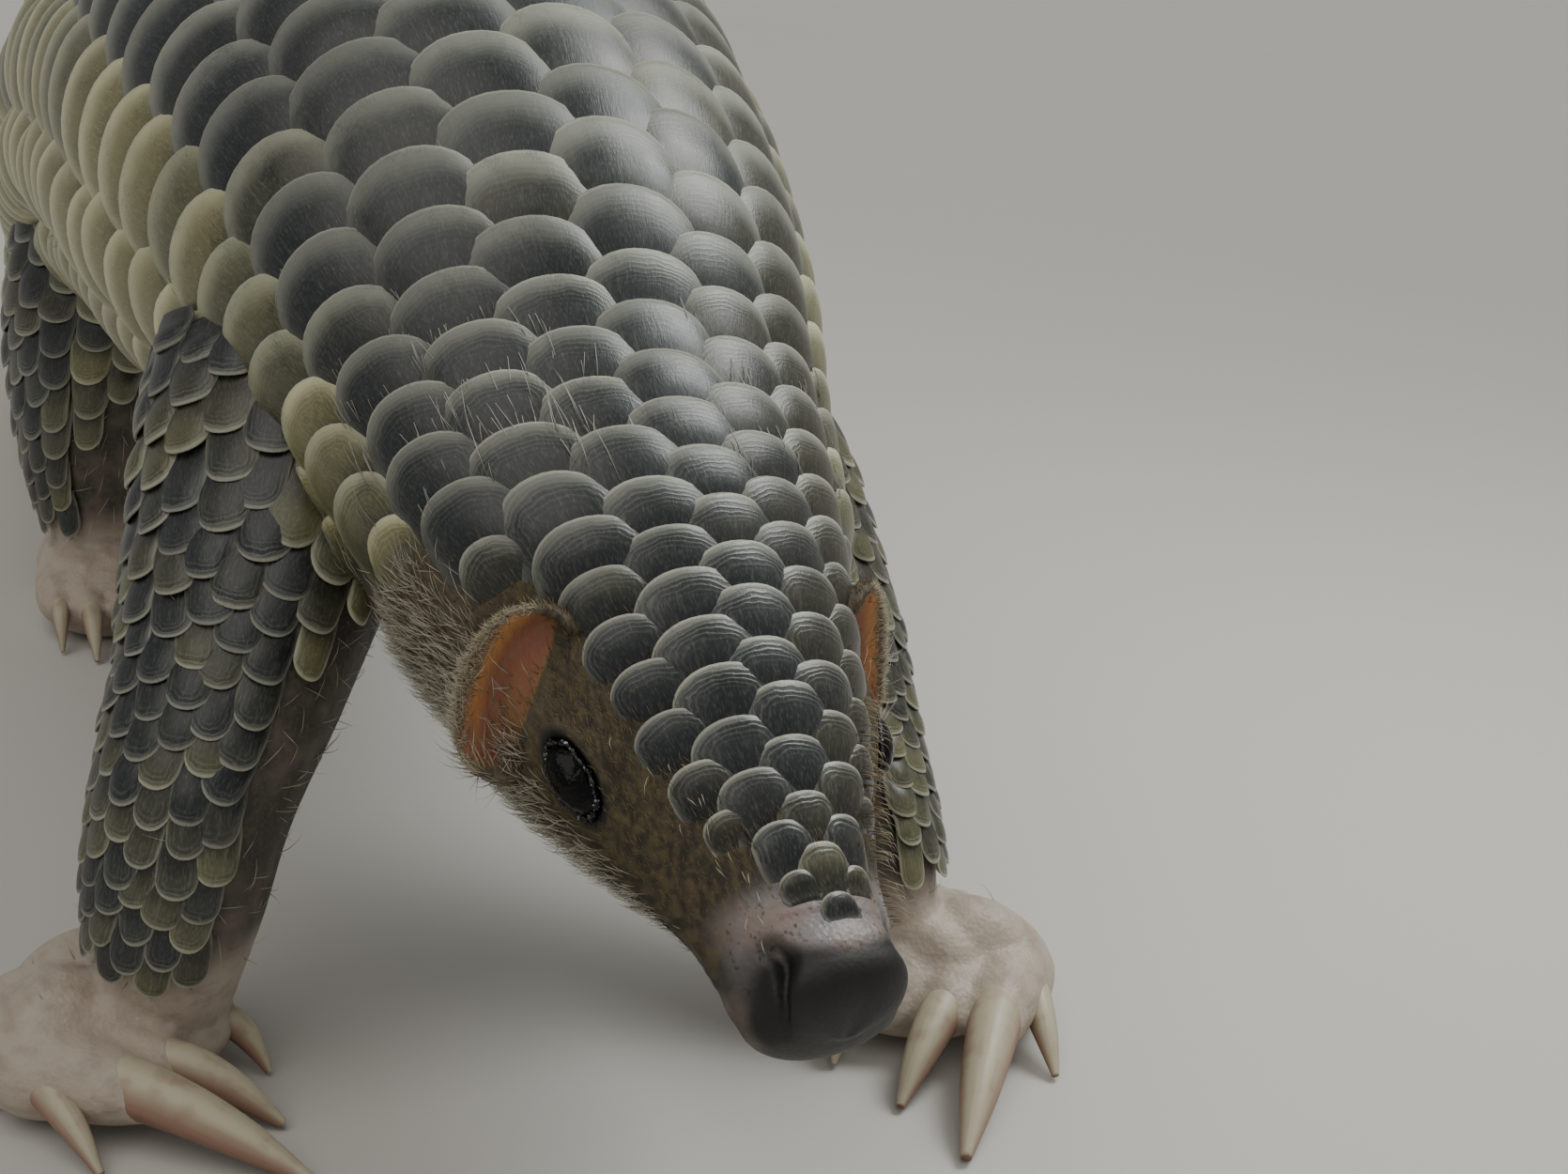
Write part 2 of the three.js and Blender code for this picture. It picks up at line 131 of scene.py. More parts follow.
class Skin:
    """A skin round a centre line, whose angle 0 is the side that top points to."""

    def __init__(self, rows: Sequence[Sequence[Number]], top: Sequence[float] = (0.0, 0.0, 1.0)) -> None:
        """Rows are x, y, z, half width, height above and height below the line.

        Args:
            rows: the rows.
            top: the direction that angle 0 faces.
        """
        self.line = SmoothRows(rows)
        self.length = float(self.line.at[-1])
        self.top = np.array(top, float)

    def axes(self, s: Array) -> tuple[Array, Array, Array]:
        """Directions along, aside and up at each distance.

        Args:
            s: the distances.
        Returns:
            The three directions at each of them.
        """
        half = 0.5
        along = unit(self.line.read(np.asarray(s) + half)[..., :3] - self.line.read(np.asarray(s) - half)[..., :3])
        side = unit(np.cross(along, self.top))
        return along, side, np.cross(side, along)

    def point(self, s: Array, phi: Array, lift: Array = 0.0) -> Array:
        """Points on the skin.

        Args:
            s: distances along the line.
            phi: angles from the top, in radians.
            lift: how far each point stands out of the skin.
        Returns:
            Points in millimetres, along a new last axis.
        """
        s, phi, lift = np.broadcast_arrays(np.asarray(s, float), phi, lift)
        row = self.line.read(s)
        _, side, up = self.axes(s)
        width = row[..., 3]
        height = np.where(np.cos(phi) >= 0, row[..., 4], row[..., 5])
        out = unit(np.stack([np.sin(phi) / width, np.cos(phi) / height], -1))
        across = width * np.sin(phi) + lift * out[..., 0]
        above = height * np.cos(phi) + lift * out[..., 1]
        return row[..., :3] + side * across[..., None] + up * above[..., None]

    def outward(self, s: Array, phi: Array) -> Array:
        """The direction straight out of the skin."""
        return unit(self.point(s, phi, 1.0) - self.point(s, phi, 0.0))

    def local(self, s: float, phi: float) -> tuple[Array, Array, Array, Array]:
        """A place on the skin and its directions: tailward, across and outward.

        Args:
            s: its distance.
            phi: its angle from the top.
        Returns:
            The place and the three directions there.
        """
        here = self.point(s, phi)
        tailward = unit(self.point(s + 1, phi) - self.point(s - 1, phi))
        out = self.outward(s, phi)
        out = unit(out - tailward * np.dot(out, tailward))
        return here, tailward, np.cross(out, tailward), out

    def radius(self, s: Array) -> Array:
        """The mean of half width and height."""
        row = self.line.read(s)
        return (row[..., 3] + row[..., 4]) / 2

    def around(self, s: Array, turn: Array) -> Array:
        """Angles whose spacing along the girth is even, where the section is flattened.

        Args:
            s: distances along the line.
            turn: shares of the way round, in radians from the top.
        Returns:
            The angles phi.
        """
        s, turn = np.broadcast_arrays(np.asarray(s, float), turn)
        samples = np.linspace(0.0, math.pi, 91)
        row = self.line.read(s.ravel())
        width = row[:, 3:4]
        height = np.where(np.cos(samples) >= 0, row[:, 4:5], row[:, 5:6])
        speed = np.hypot(width * np.cos(samples), height * np.sin(samples))
        arc = np.concatenate([np.zeros((len(row), 1)), np.cumsum((speed[:, 1:] + speed[:, :-1]) / 2, axis=1)], axis=1)
        arc *= math.pi / arc[:, -1:]
        phi = [np.interp(abs(t), a, samples) * np.sign(t) for t, a in zip(turn.ravel(), arc)]
        return np.array(phi).reshape(s.shape)


HEAD_PITCH = math.radians(31)
LEAN = math.radians(5)
NOSE = (0.0, 0.0, 46.0)


def head_row(back: float, width: float, above: float, below: float) -> list[float]:
    """A row of the head, at a distance back along its pitched axis."""
    x, y, z = NOSE
    return [x, y + back * math.cos(HEAD_PITCH), z + back * math.sin(HEAD_PITCH), width, above, below]


SPINE = Skin(
    [
        head_row(0, 7, 6, 5.5),
        head_row(2.5, 12, 10, 9),
        head_row(8, 14.5, 12.5, 11.5),
        head_row(15, 15.5, 13, 12),
        head_row(24, 17.5, 14.5, 13),
        head_row(38, 23.5, 18, 17.5),
        head_row(55, 30, 23, 24),
        head_row(74, 36, 27.5, 29),
        head_row(92, 41, 31, 34),
        [2, 104, 107, 47, 35, 39],
        [5, 134, 121, 55, 47, 47],
        [9, 172, 130, 63, 61, 54],
        [15, 218, 134, 70, 72, 58],
        [23, 270, 134, 73, 77, 60],
        [28, 325, 128, 72, 76, 58],
        [30, 378, 111, 66, 67, 53],
        [31, 425, 84, 56, 52, 42],
        [33, 468, 57, 50, 37, 30],
        [40, 520, 34, 46, 26, 22],
        [52, 585, 20, 42, 18, 16],
        [68, 655, 16, 36, 14, 12.5],
        [84, 715, 13.5, 28, 11, 10],
        [95, 752, 10.5, 18, 8, 7.5],
        [100, 768, 8, 7, 5, 5],
    ],
    top=(math.sin(LEAN), 0.0, math.cos(LEAN)),
)

HAUNCH_AT = 380.0
HINDFOOT_OUT = 51.0
HINDFEET_Y = {"right": 350.0, "left": 380.0}
MIDLINE = float(SPINE.line.read(HAUNCH_AT)[0])


def hindleg(side: int, y: float) -> Skin:
    """A hind leg, from the haunch to a foot at distance y behind the nose.

    Args:
        side: -1 for the right leg, 1 for the left.
        y: how far back its foot stands.
    Returns:
        The leg.
    """
    return Skin(
        [
            [MIDLINE + side * 32, y + 14, 98, 38, 34, 28],
            [MIDLINE + side * 42, y + 12, 74, 35, 29, 27],
            [MIDLINE + side * 49, y + 7, 50, 27, 22, 23],
            [MIDLINE + side * HINDFOOT_OUT, y + 4, 30, 19, 17, 18],
            [MIDLINE + side * HINDFOOT_OUT, y + 4, 15, 14, 13, 14],
        ],
        top=(side, 0.0, 0.2),
    )


LEGS = {
    "foreleg_right": Skin(
        [
            [-34, 146, 112, 30, 26, 24],
            [-47, 128, 92, 26, 21, 23],
            [-57, 116, 73, 21.5, 18, 20],
            [-67, 108, 53, 18, 16, 18],
            [-72, 106, 33, 16, 15, 16],
            [-74, 108, 16, 13, 12, 13],
        ],
        top=(-1, -0.9, 0.2),
    ),
    "foreleg_left": Skin(
        [
            [40, 150, 112, 30, 26, 24],
            [51, 128, 90, 25, 20, 22],
            [56, 112, 68, 20, 17, 19],
            [56, 96, 46, 17, 15.5, 17],
            [55, 82, 28, 15.5, 14.5, 15.5],
            [56, 77, 16, 13, 12, 13],
        ],
        top=(1, -0.9, 0.2),
    ),
    "hindleg_right": hindleg(-1, HINDFEET_Y["right"]),
    "hindleg_left": hindleg(1, HINDFEET_Y["left"]),
}


# Meshes


@dataclass
class Form:
    """Points, faces and values of a mesh, in millimetres."""

    points: Array
    faces: list[Array]
    values: dict[str, Array] = field(default_factory=dict)
    uv: Union[Array, None] = None
    flat: Union[list[Array], None] = None

    @staticmethod
    def joined(forms: Sequence["Form"]) -> "Form":
        """Several forms as one.

        Args:
            forms: the forms.
        Returns:
            One form with their points, faces and values.
        """
        starts = np.cumsum([0] + [len(form.points) for form in forms[:-1]])
        faces = [block + start for form, start in zip(forms, starts) for block in form.faces]
        flat = [flags for form in forms for flags in (form.flat or [np.zeros(len(b), bool) for b in form.faces])]
        names = set.intersection(*[set(form.values) for form in forms])
        values = {name: np.concatenate([form.values[name] for form in forms]) for name in names}
        has_uv = all(form.uv is not None for form in forms)
        uv = np.concatenate([form.uv for form in forms]) if has_uv else None
        return Form(np.concatenate([form.points for form in forms]), faces, values, uv, flat)

    def object(self, name: str) -> Piece:
        """A mesh object in the scene.

        Args:
            name: the piece's name.
        Returns:
            The object, shaded smooth but for its flat faces.
        """
        mesh = bpy.data.meshes.new(name)
        sizes = np.concatenate([np.full(len(block), block.shape[1]) for block in self.faces])
        corners = np.concatenate([block.ravel() for block in self.faces]).astype(np.int32)
        mesh.vertices.add(len(self.points))
        mesh.vertices.foreach_set("co", in_frame(self.points).astype(np.float32).ravel())
        mesh.loops.add(len(corners))
        mesh.loops.foreach_set("vertex_index", corners)
        mesh.polygons.add(len(sizes))
        starts = np.concatenate([[0], np.cumsum(sizes)[:-1]]).astype(np.int32)
        mesh.polygons.foreach_set("loop_start", starts)
        mesh.update(calc_edges=True)
        flat = np.concatenate(self.flat) if self.flat else np.zeros(len(sizes), bool)
        mesh.polygons.foreach_set("use_smooth", ~flat)
        for label, value in self.values.items():
            mesh.attributes.new(label, "FLOAT", "POINT").data.foreach_set("value", value.astype(np.float32))
        if self.uv is not None:
            layer = mesh.uv_layers.new(name="OFBake")
            layer.data.foreach_set("uv", self.uv[corners].astype(np.float32).ravel())
        mesh.validate()
        piece = bpy.data.objects.new(name, mesh)
        bpy.context.scene.collection.objects.link(piece)
        return piece


def grid_faces(rings: int, sides: int, closed: bool) -> Array:
    """Quads between rings of points.

    Args:
        rings: how many rings.
        sides: points in each ring.
        closed: whether a ring's last point meets its first.
    Returns:
        Rows of four indices.
    """
    i, k = np.meshgrid(np.arange(rings - 1), np.arange(sides if closed else sides - 1), indexing="ij")
    nxt = (k + 1) % sides
    return np.stack([i * sides + k, i * sides + nxt, (i + 1) * sides + nxt, (i + 1) * sides + k], -1).reshape(-1, 4)


def round_grid(stations: Array, sides: int, start: float = 0.0) -> tuple[Array, Array]:
    """Distances and angles of a grid round a skin.

    Args:
        stations: the distances.
        sides: how many angles.
        start: the first angle.
    Returns:
        Both, as arrays of stations and sides.
    """
    angles = np.linspace(start, start + 2 * math.pi, sides, endpoint=False)
    s, phi = np.meshgrid(stations, angles, indexing="ij")
    return s, phi


def tube(points: Array) -> Form:
    """A closed form through rings of points, with a fan at each end.

    Args:
        points: an array of rings, sides and three coordinates.
    Returns:
        The form.
    """
    rings, sides, _ = points.shape
    ends = np.stack([points[0].mean(0), points[-1].mean(0)])
    first, last = rings * sides, rings * sides + 1
    k = np.arange(sides)
    nxt = (k + 1) % sides
    cap = np.stack([np.full(sides, first), nxt, k], -1)
    far = np.stack([np.full(sides, last), (rings - 1) * sides + k, (rings - 1) * sides + nxt], -1)
    flat_points = np.concatenate([points.reshape(-1, 3), ends])
    return Form(flat_points, [grid_faces(rings, sides, True), np.concatenate([cap, far])])


def bar(points: Sequence[Array], radii: Sequence[float], rings: int, sides: int) -> Form:
    """A round bar.

    Args:
        points: its middle line.
        radii: its thickness at each of them.
        rings: how many rings its form has.
        sides: points in each ring.
    Returns:
        The form.
    """
    rows = [[*point, radius, radius, radius] for point, radius in zip(points, radii)]
    skin = Skin(rows, top=(0.3, 0.2, 1.0))
    return tube(skin.point(*round_grid(np.linspace(0, skin.length, rings), sides)))


def ball(centre: Array, axes: Sequence[Array], halves: Sequence[float], rings: int, sides: int) -> Form:
    """An egg with three half axes.

    Args:
        centre: its middle.
        axes: the directions of its axes.
        halves: half its size along each.
        rings: how many rings its form has.
        sides: points in each ring.
    Returns:
        The form.
    """
    theta, phi = round_grid(np.linspace(0.02, math.pi - 0.02, rings), sides)
    directions = (np.sin(theta) * np.cos(phi), np.sin(theta) * np.sin(phi), np.cos(theta))
    points = centre + sum(d[..., None] * h * np.asarray(a) for d, h, a in zip(directions, halves, axes))
    return tube(points)


def remeshed(form: Form, voxel: float, name: str, kept: float) -> Piece:
    """Crossing closed forms as one skin.

    Args:
        form: the closed forms.
        voxel: size of the new faces, in millimetres.
        name: the piece's name.
        kept: the share of faces that stay, fewest where it is flat.
    Returns:
        The piece, with its modifiers applied.
    """
    rough = form.object(name + "_rough")
    remesh = rough.modifiers.new("voxels", "REMESH")
    remesh.mode = "VOXEL"
    remesh.voxel_size = voxel * MILLIMETRE
    relax = rough.modifiers.new("relax", "SMOOTH")
    relax.factor = 0.5
    relax.iterations = 4
    rough.modifiers.new("thin", "DECIMATE").ratio = kept
    graph = bpy.context.evaluated_depsgraph_get()
    mesh = bpy.data.meshes.new_from_object(rough.evaluated_get(graph))
    mesh.name = name
    bpy.data.objects.remove(rough)
    mesh.polygons.foreach_set("use_smooth", np.ones(len(mesh.polygons), bool))
    piece = bpy.data.objects.new(name, mesh)
    bpy.context.scene.collection.objects.link(piece)
    return piece


def points_of(piece: Piece) -> Array:
    """A piece's points, in millimetres in the animal's axes.

    Args:
        piece: the piece.
    Returns:
        Its points.
    """
    flat = np.zeros(len(piece.data.vertices) * 3, np.float32)
    piece.data.vertices.foreach_get("co", flat)
    return flat.reshape(-1, 3).astype(float) / MILLIMETRE + GROUND_CENTRE


def normals_of(piece: Piece) -> Array:
    """The directions out of a piece at its points.

    Args:
        piece: the piece.
    Returns:
        A direction for each of its points.
    """
    flat = np.zeros(len(piece.data.vertices) * 3, np.float32)
    piece.data.vertices.foreach_get("normal", flat)
    return flat.reshape(-1, 3).astype(float)


def set_points(piece: Piece, points: Array) -> None:
    """Moves a piece's points."""
    piece.data.vertices.foreach_set("co", in_frame(points).astype(np.float32).ravel())
    piece.data.update()


def set_value(piece: Piece, name: str, value: Array) -> None:
    """Keeps a number at each point of a piece, for its finish."""
    layer = piece.data.attributes.new(name, "FLOAT", "POINT")
    layer.data.foreach_set("value", np.asarray(value, np.float32))


# Shader maths


class Socket:
    """A value in a material, which expressions add, multiply and compare."""

    def __init__(self, recipe: "Recipe", output: bpy.types.NodeSocket) -> None:
        """Wraps one output of a node."""
        self.recipe = recipe
        self.output = output

    def _math(self, operation: str, *values: Union["Socket", Number]) -> "Socket":
        """A Math node on these values."""
        return self.recipe.node("ShaderNodeMath", {"operation": operation}, dict(enumerate(values)))

    def __add__(self, other: Union["Socket", Number]) -> "Socket":
        """self + other."""
        return self._math("ADD", self, other)

    __radd__ = __add__

    def __sub__(self, other: Union["Socket", Number]) -> "Socket":
        """self - other."""
        return self._math("SUBTRACT", self, other)

    def __rsub__(self, other: Number) -> "Socket":
        """other - self."""
        return self._math("SUBTRACT", other, self)

    def __mul__(self, other: Union["Socket", Number]) -> "Socket":
        """self * other."""
        return self._math("MULTIPLY", self, other)

    __rmul__ = __mul__

    def __truediv__(self, other: Union["Socket", Number]) -> "Socket":
        """self / other."""
        return self._math("DIVIDE", self, other)

    def __pow__(self, other: Number) -> "Socket":
        """self to a power."""
        return self._math("POWER", self, other)

    def sine(self) -> "Socket":
        """The sine."""
        return self._math("SINE", self)

    def rise(self, low: float, high: float, start: float = 0.0, end: float = 1.0) -> "Socket":
        """Goes smoothly from start, at low, to end, at high.

        Args:
            low: where it starts to rise.
            high: where it has risen.
            start: its value below.
            end: its value above.
        Returns:
            The socket with that value.
        """
        settings = {"interpolation_type": "SMOOTHSTEP"}
        places = {"Value": self, "From Min": low, "From Max": high, "To Min": start, "To Max": end}
        return self.recipe.node("ShaderNodeMapRange", settings, places)


Colour = tuple[float, float, float]
Value = Union[Socket, Number, Colour]


class Recipe:
    """A material and the nodes that it is mixed from."""

    def __init__(self, name: str) -> None:
        """An empty material with its shader and output.

        Args:
            name: the material's name.
        """
        self.material = bpy.data.materials.new(name)
        self.material.use_nodes = True
        self.tree = self.material.node_tree
        self.shader = self.tree.nodes["Principled BSDF"]

    def node(self, kind: str, settings: dict, inputs: dict, output: Union[int, str] = 0) -> Socket:
        """Adds a node.

        Args:
            kind: the node's type.
            settings: its own properties.
            inputs: values or links of its sockets.
            output: which output is wanted.
        Returns:
            That output.
        """
        node = self.tree.nodes.new(kind)
        for key, value in settings.items():
            setattr(node, key, value)
        for key, value in inputs.items():
            self.feed(node.inputs[key], value)
        return Socket(self, node.outputs[output])

    def feed(self, socket: bpy.types.NodeSocket, value: Value) -> None:
        """Links a socket or sets its value.

        Args:
            socket: what is fed.
            value: a socket or a plain value.
        """
        if isinstance(value, Socket):
            self.tree.links.new(value.output, socket)
        elif isinstance(value, tuple):
            socket.default_value = (*value, 1.0) if socket.type == "RGBA" else value
        else:
            socket.default_value = value

    def value(self, name: str) -> Socket:
        """A number that the mesh keeps at its points."""
        return self.node("ShaderNodeAttribute", {"attribute_name": name}, {}, "Fac")

    def place(self) -> Socket:
        """Where the surface is, in the piece's own metres."""
        return self.node("ShaderNodeTexCoord", {}, {}, "Object")

    def vector(self, x: Value, y: Value, z: Value) -> Socket:
        """Three numbers as a vector."""
        return self.node("ShaderNodeCombineXYZ", {}, {0: x, 1: y, 2: z})

    def noise(self, scale: float, detail: float = 3.0, where: Union[Socket, None] = None) -> Socket:
        """Cloudy noise from 0 to 1."""
        inputs = {"Scale": scale, "Detail": detail, "Vector": where or self.place()}
        return self.node("ShaderNodeTexNoise", {}, inputs)

    def cells(self, scale: float) -> Socket:
        """Distance from the middle of small cells."""
        return self.node("ShaderNodeTexVoronoi", {}, {"Scale": scale, "Vector": self.place()}, "Distance")

    def stretched(self, where: Socket, x: float, y: float, z: float) -> Socket:
        """A place with its axes scaled."""
        return self.node("ShaderNodeVectorMath", {"operation": "MULTIPLY"}, {0: where, 1: (x, y, z)})

    def mix(self, share: Value, first: Value, second: Value) -> Socket:
        """A colour between two others.

        Args:
            share: how much of the second there is.
            first: one colour.
            second: the other.
        Returns:
            The colour.
        """
        settings = {"data_type": "RGBA", "clamp_factor": True}
        return self.node("ShaderNodeMix", settings, {0: share, 6: first, 7: second}, 2)

    def bump(self, height: Socket, strength: float, distance: float) -> Socket:
        """A normal tilted by a height."""
        return self.node("ShaderNodeBump", {}, {"Height": height, "Strength": strength, "Distance": distance})

    def dress(self, piece: Piece, sockets: dict[str, Value]) -> None:
        """Sets the shader's sockets and puts the material on a piece.

        Args:
            piece: the piece.
            sockets: a value for each named input of the shader.
        """
        for name, value in sockets.items():
            self.feed(self.shader.inputs[name], value)
        piece.data.materials.clear()
        piece.data.materials.append(self.material)


def srgb(code: int) -> Colour:
    """A hexadecimal colour as linear light."""
    parts = [((code >> shift) & 255) / 255 for shift in (16, 8, 0)]
    return tuple(p / 12.92 if p <= 0.04045 else ((p + 0.055) / 1.055) ** 2.4 for p in parts)


# Scales


@dataclass
class PlateSpec:
    """Where many scales sit on a skin, and their sizes, one number of each for every scale."""

    s: Array
    phi: Array
    half_width: Array
    arc: Array
    length: Array
    slope: Array
    thick: Array
    dome: Array
    yaw: Array
    sunk: Array
    tone: Array
    flank: Array
    brown: Array
    worn: Array
    cell: Array

    def only(self, keep: Array) -> "PlateSpec":
        """The scales that a mask keeps."""
        return PlateSpec(**{name: value[keep] for name, value in vars(self).items()})


@dataclass(frozen=True)
class PlateMould:
    """The shape that all scales are cast in: a domed plate with a rounded tip and a rounded rim."""

    across: int = 15
    along: int = 10
    corner: float = 2.2
    neck: float = 0.8

    def cast(self, skin: Skin, spec: PlateSpec) -> Form:
        """Scales as one form.

        Args:
            skin: what they grow from.
            spec: their places and sizes.
        Returns:
            The form, with each point's distances from root and rim kept for the finish.
        """
        count = len(spec.s)
        u = np.sin(np.linspace(-1, 1, self.across) * math.pi / 2)
        v = 1 - (1 - np.linspace(0, 1, self.along)) ** 1.35
        big_v, big_u = np.meshgrid(v, u, indexing="ij")
        tip = np.power(np.clip(1 - np.abs(u) ** self.corner, 0, 1), 1 / self.corner)
        reach = spec.length[:, None] + spec.arc[:, None] * tip
        along = big_v[None] * reach[:, None, :]
        waist = self.neck + (1 - self.neck) * smoothstep(big_v, 0.0, 0.6)
        across = big_u[None] * spec.half_width[:, None, None] * waist[None]
        total = (spec.length + spec.arc)[:, None, None]
        share = along / total
        rise = spec.slope[:, None, None] * total
        hump = spec.dome[:, None, None] * (1 - np.abs(big_u[None]) ** 2.4) * smoothstep(share, 0.2, 0.75)
        droop = spec.dome[:, None, None] * 0.55 * np.abs(big_v[None]) ** 7
        lift = rise * (share - spec.sunk[:, None, None]) + hump - droop

        edge = self._edge_order()
        flat_along, flat_across, flat_lift = (a.reshape(count, -1) for a in (along, across, lift))
        ring_along, ring_across, ring_lift = (a[:, edge] for a in (flat_along, flat_across, flat_lift))
        outward = self._outward(ring_along, ring_across)
        thick = spec.thick[:, None]
        rings = [(0.34, 0.38), (0.0, 1.0)]
        all_along = [flat_along] + [ring_along + outward[..., 0] * thick * out for out, _ in rings]
        all_across = [flat_across] + [ring_across + outward[..., 1] * thick * out for out, _ in rings]
        all_lift = [flat_lift] + [ring_lift - thick * down for _, down in rings]
        x, y, z = (np.concatenate(parts, axis=1) for parts in (all_along, all_across, all_lift))

        turned_x = x * np.cos(spec.yaw)[:, None] - y * np.sin(spec.yaw)[:, None]
        turned_y = x * np.sin(spec.yaw)[:, None] + y * np.cos(spec.yaw)[:, None]
        girth = skin.radius(spec.s)[:, None]
        points = skin.point(spec.s[:, None] + turned_x, spec.phi[:, None] + turned_y / girth, z)

        from_tip = (1 - big_v)[None] * reach[:, None, :]
        from_side = (1 - np.abs(big_u))[None] * spec.half_width[:, None, None]
        rim = np.minimum(from_tip, from_side)
        grid = self.across * self.along
        rims = np.concatenate([rim.reshape(count, -1), np.zeros((count, 2 * len(edge)))], axis=1)
        stride = x.shape[1]
        same = {name: getattr(spec, name) for name in ("tone", "flank", "brown", "worn")} | {"size": spec.half_width}
        values = {"rim": rims, "along": x, "across": y, "toward": x / total[:, :, 0]}
        values |= {name: np.repeat(value[:, None], stride, 1) for name, value in same.items()}
        patch = np.stack([y / (2.6 * spec.half_width[:, None]), x / (1.2 * total[:, :, 0])], -1)
        uv = spec.cell[:, None, :2] + (patch + [0.5, 0.08]) * spec.cell[:, None, 2:]

        top = grid_faces(self.along, self.across, False)
        a, b = edge, np.roll(edge, -1)
        ring1 = grid + np.arange(len(edge))
        ring2 = ring1 + len(edge)
        skirt = [
            np.stack([a, ring1, np.roll(ring1, -1), b], -1),
            np.stack([ring1, ring2, np.roll(ring2, -1), np.roll(ring1, -1)], -1),
        ]
        quads = np.concatenate([top] + skirt)
        offsets = (np.arange(count) * stride)[:, None, None]
        faces = [(quads[None] + offsets).reshape(-1, 4), (ring2[None, None] + offsets).reshape(-1, len(edge))]
        flat = [np.zeros(len(faces[0]), bool), np.ones(len(faces[1]), bool)]
        values = {name: value.reshape(-1) for name, value in values.items()}
        return Form(points.reshape(-1, 3), faces, values, uv.reshape(-1, 2), flat)

    def _edge_order(self) -> Array:
        """Indices of the grid's outline, in order round it."""
        grid = np.arange(self.along * self.across).reshape(self.along, self.across)
        return np.concatenate([grid[0, :-1], grid[:-1, -1], grid[-1, :0:-1], grid[:0:-1, 0]])

    @staticmethod
    def _outward(along: Array, across: Array) -> Array:
        """Directions out of an outline at each of its points.

        Args:
            along: the outline's places along the scale.
            across: its places across it.
        Returns:
            The parts of each direction along and across the scale.
        """
        places = np.stack([along, across], -1)
        step = unit(np.roll(places, -1, 1) - np.roll(places, 1, 1))
        return np.stack([-step[..., 1], step[..., 0]], -1)


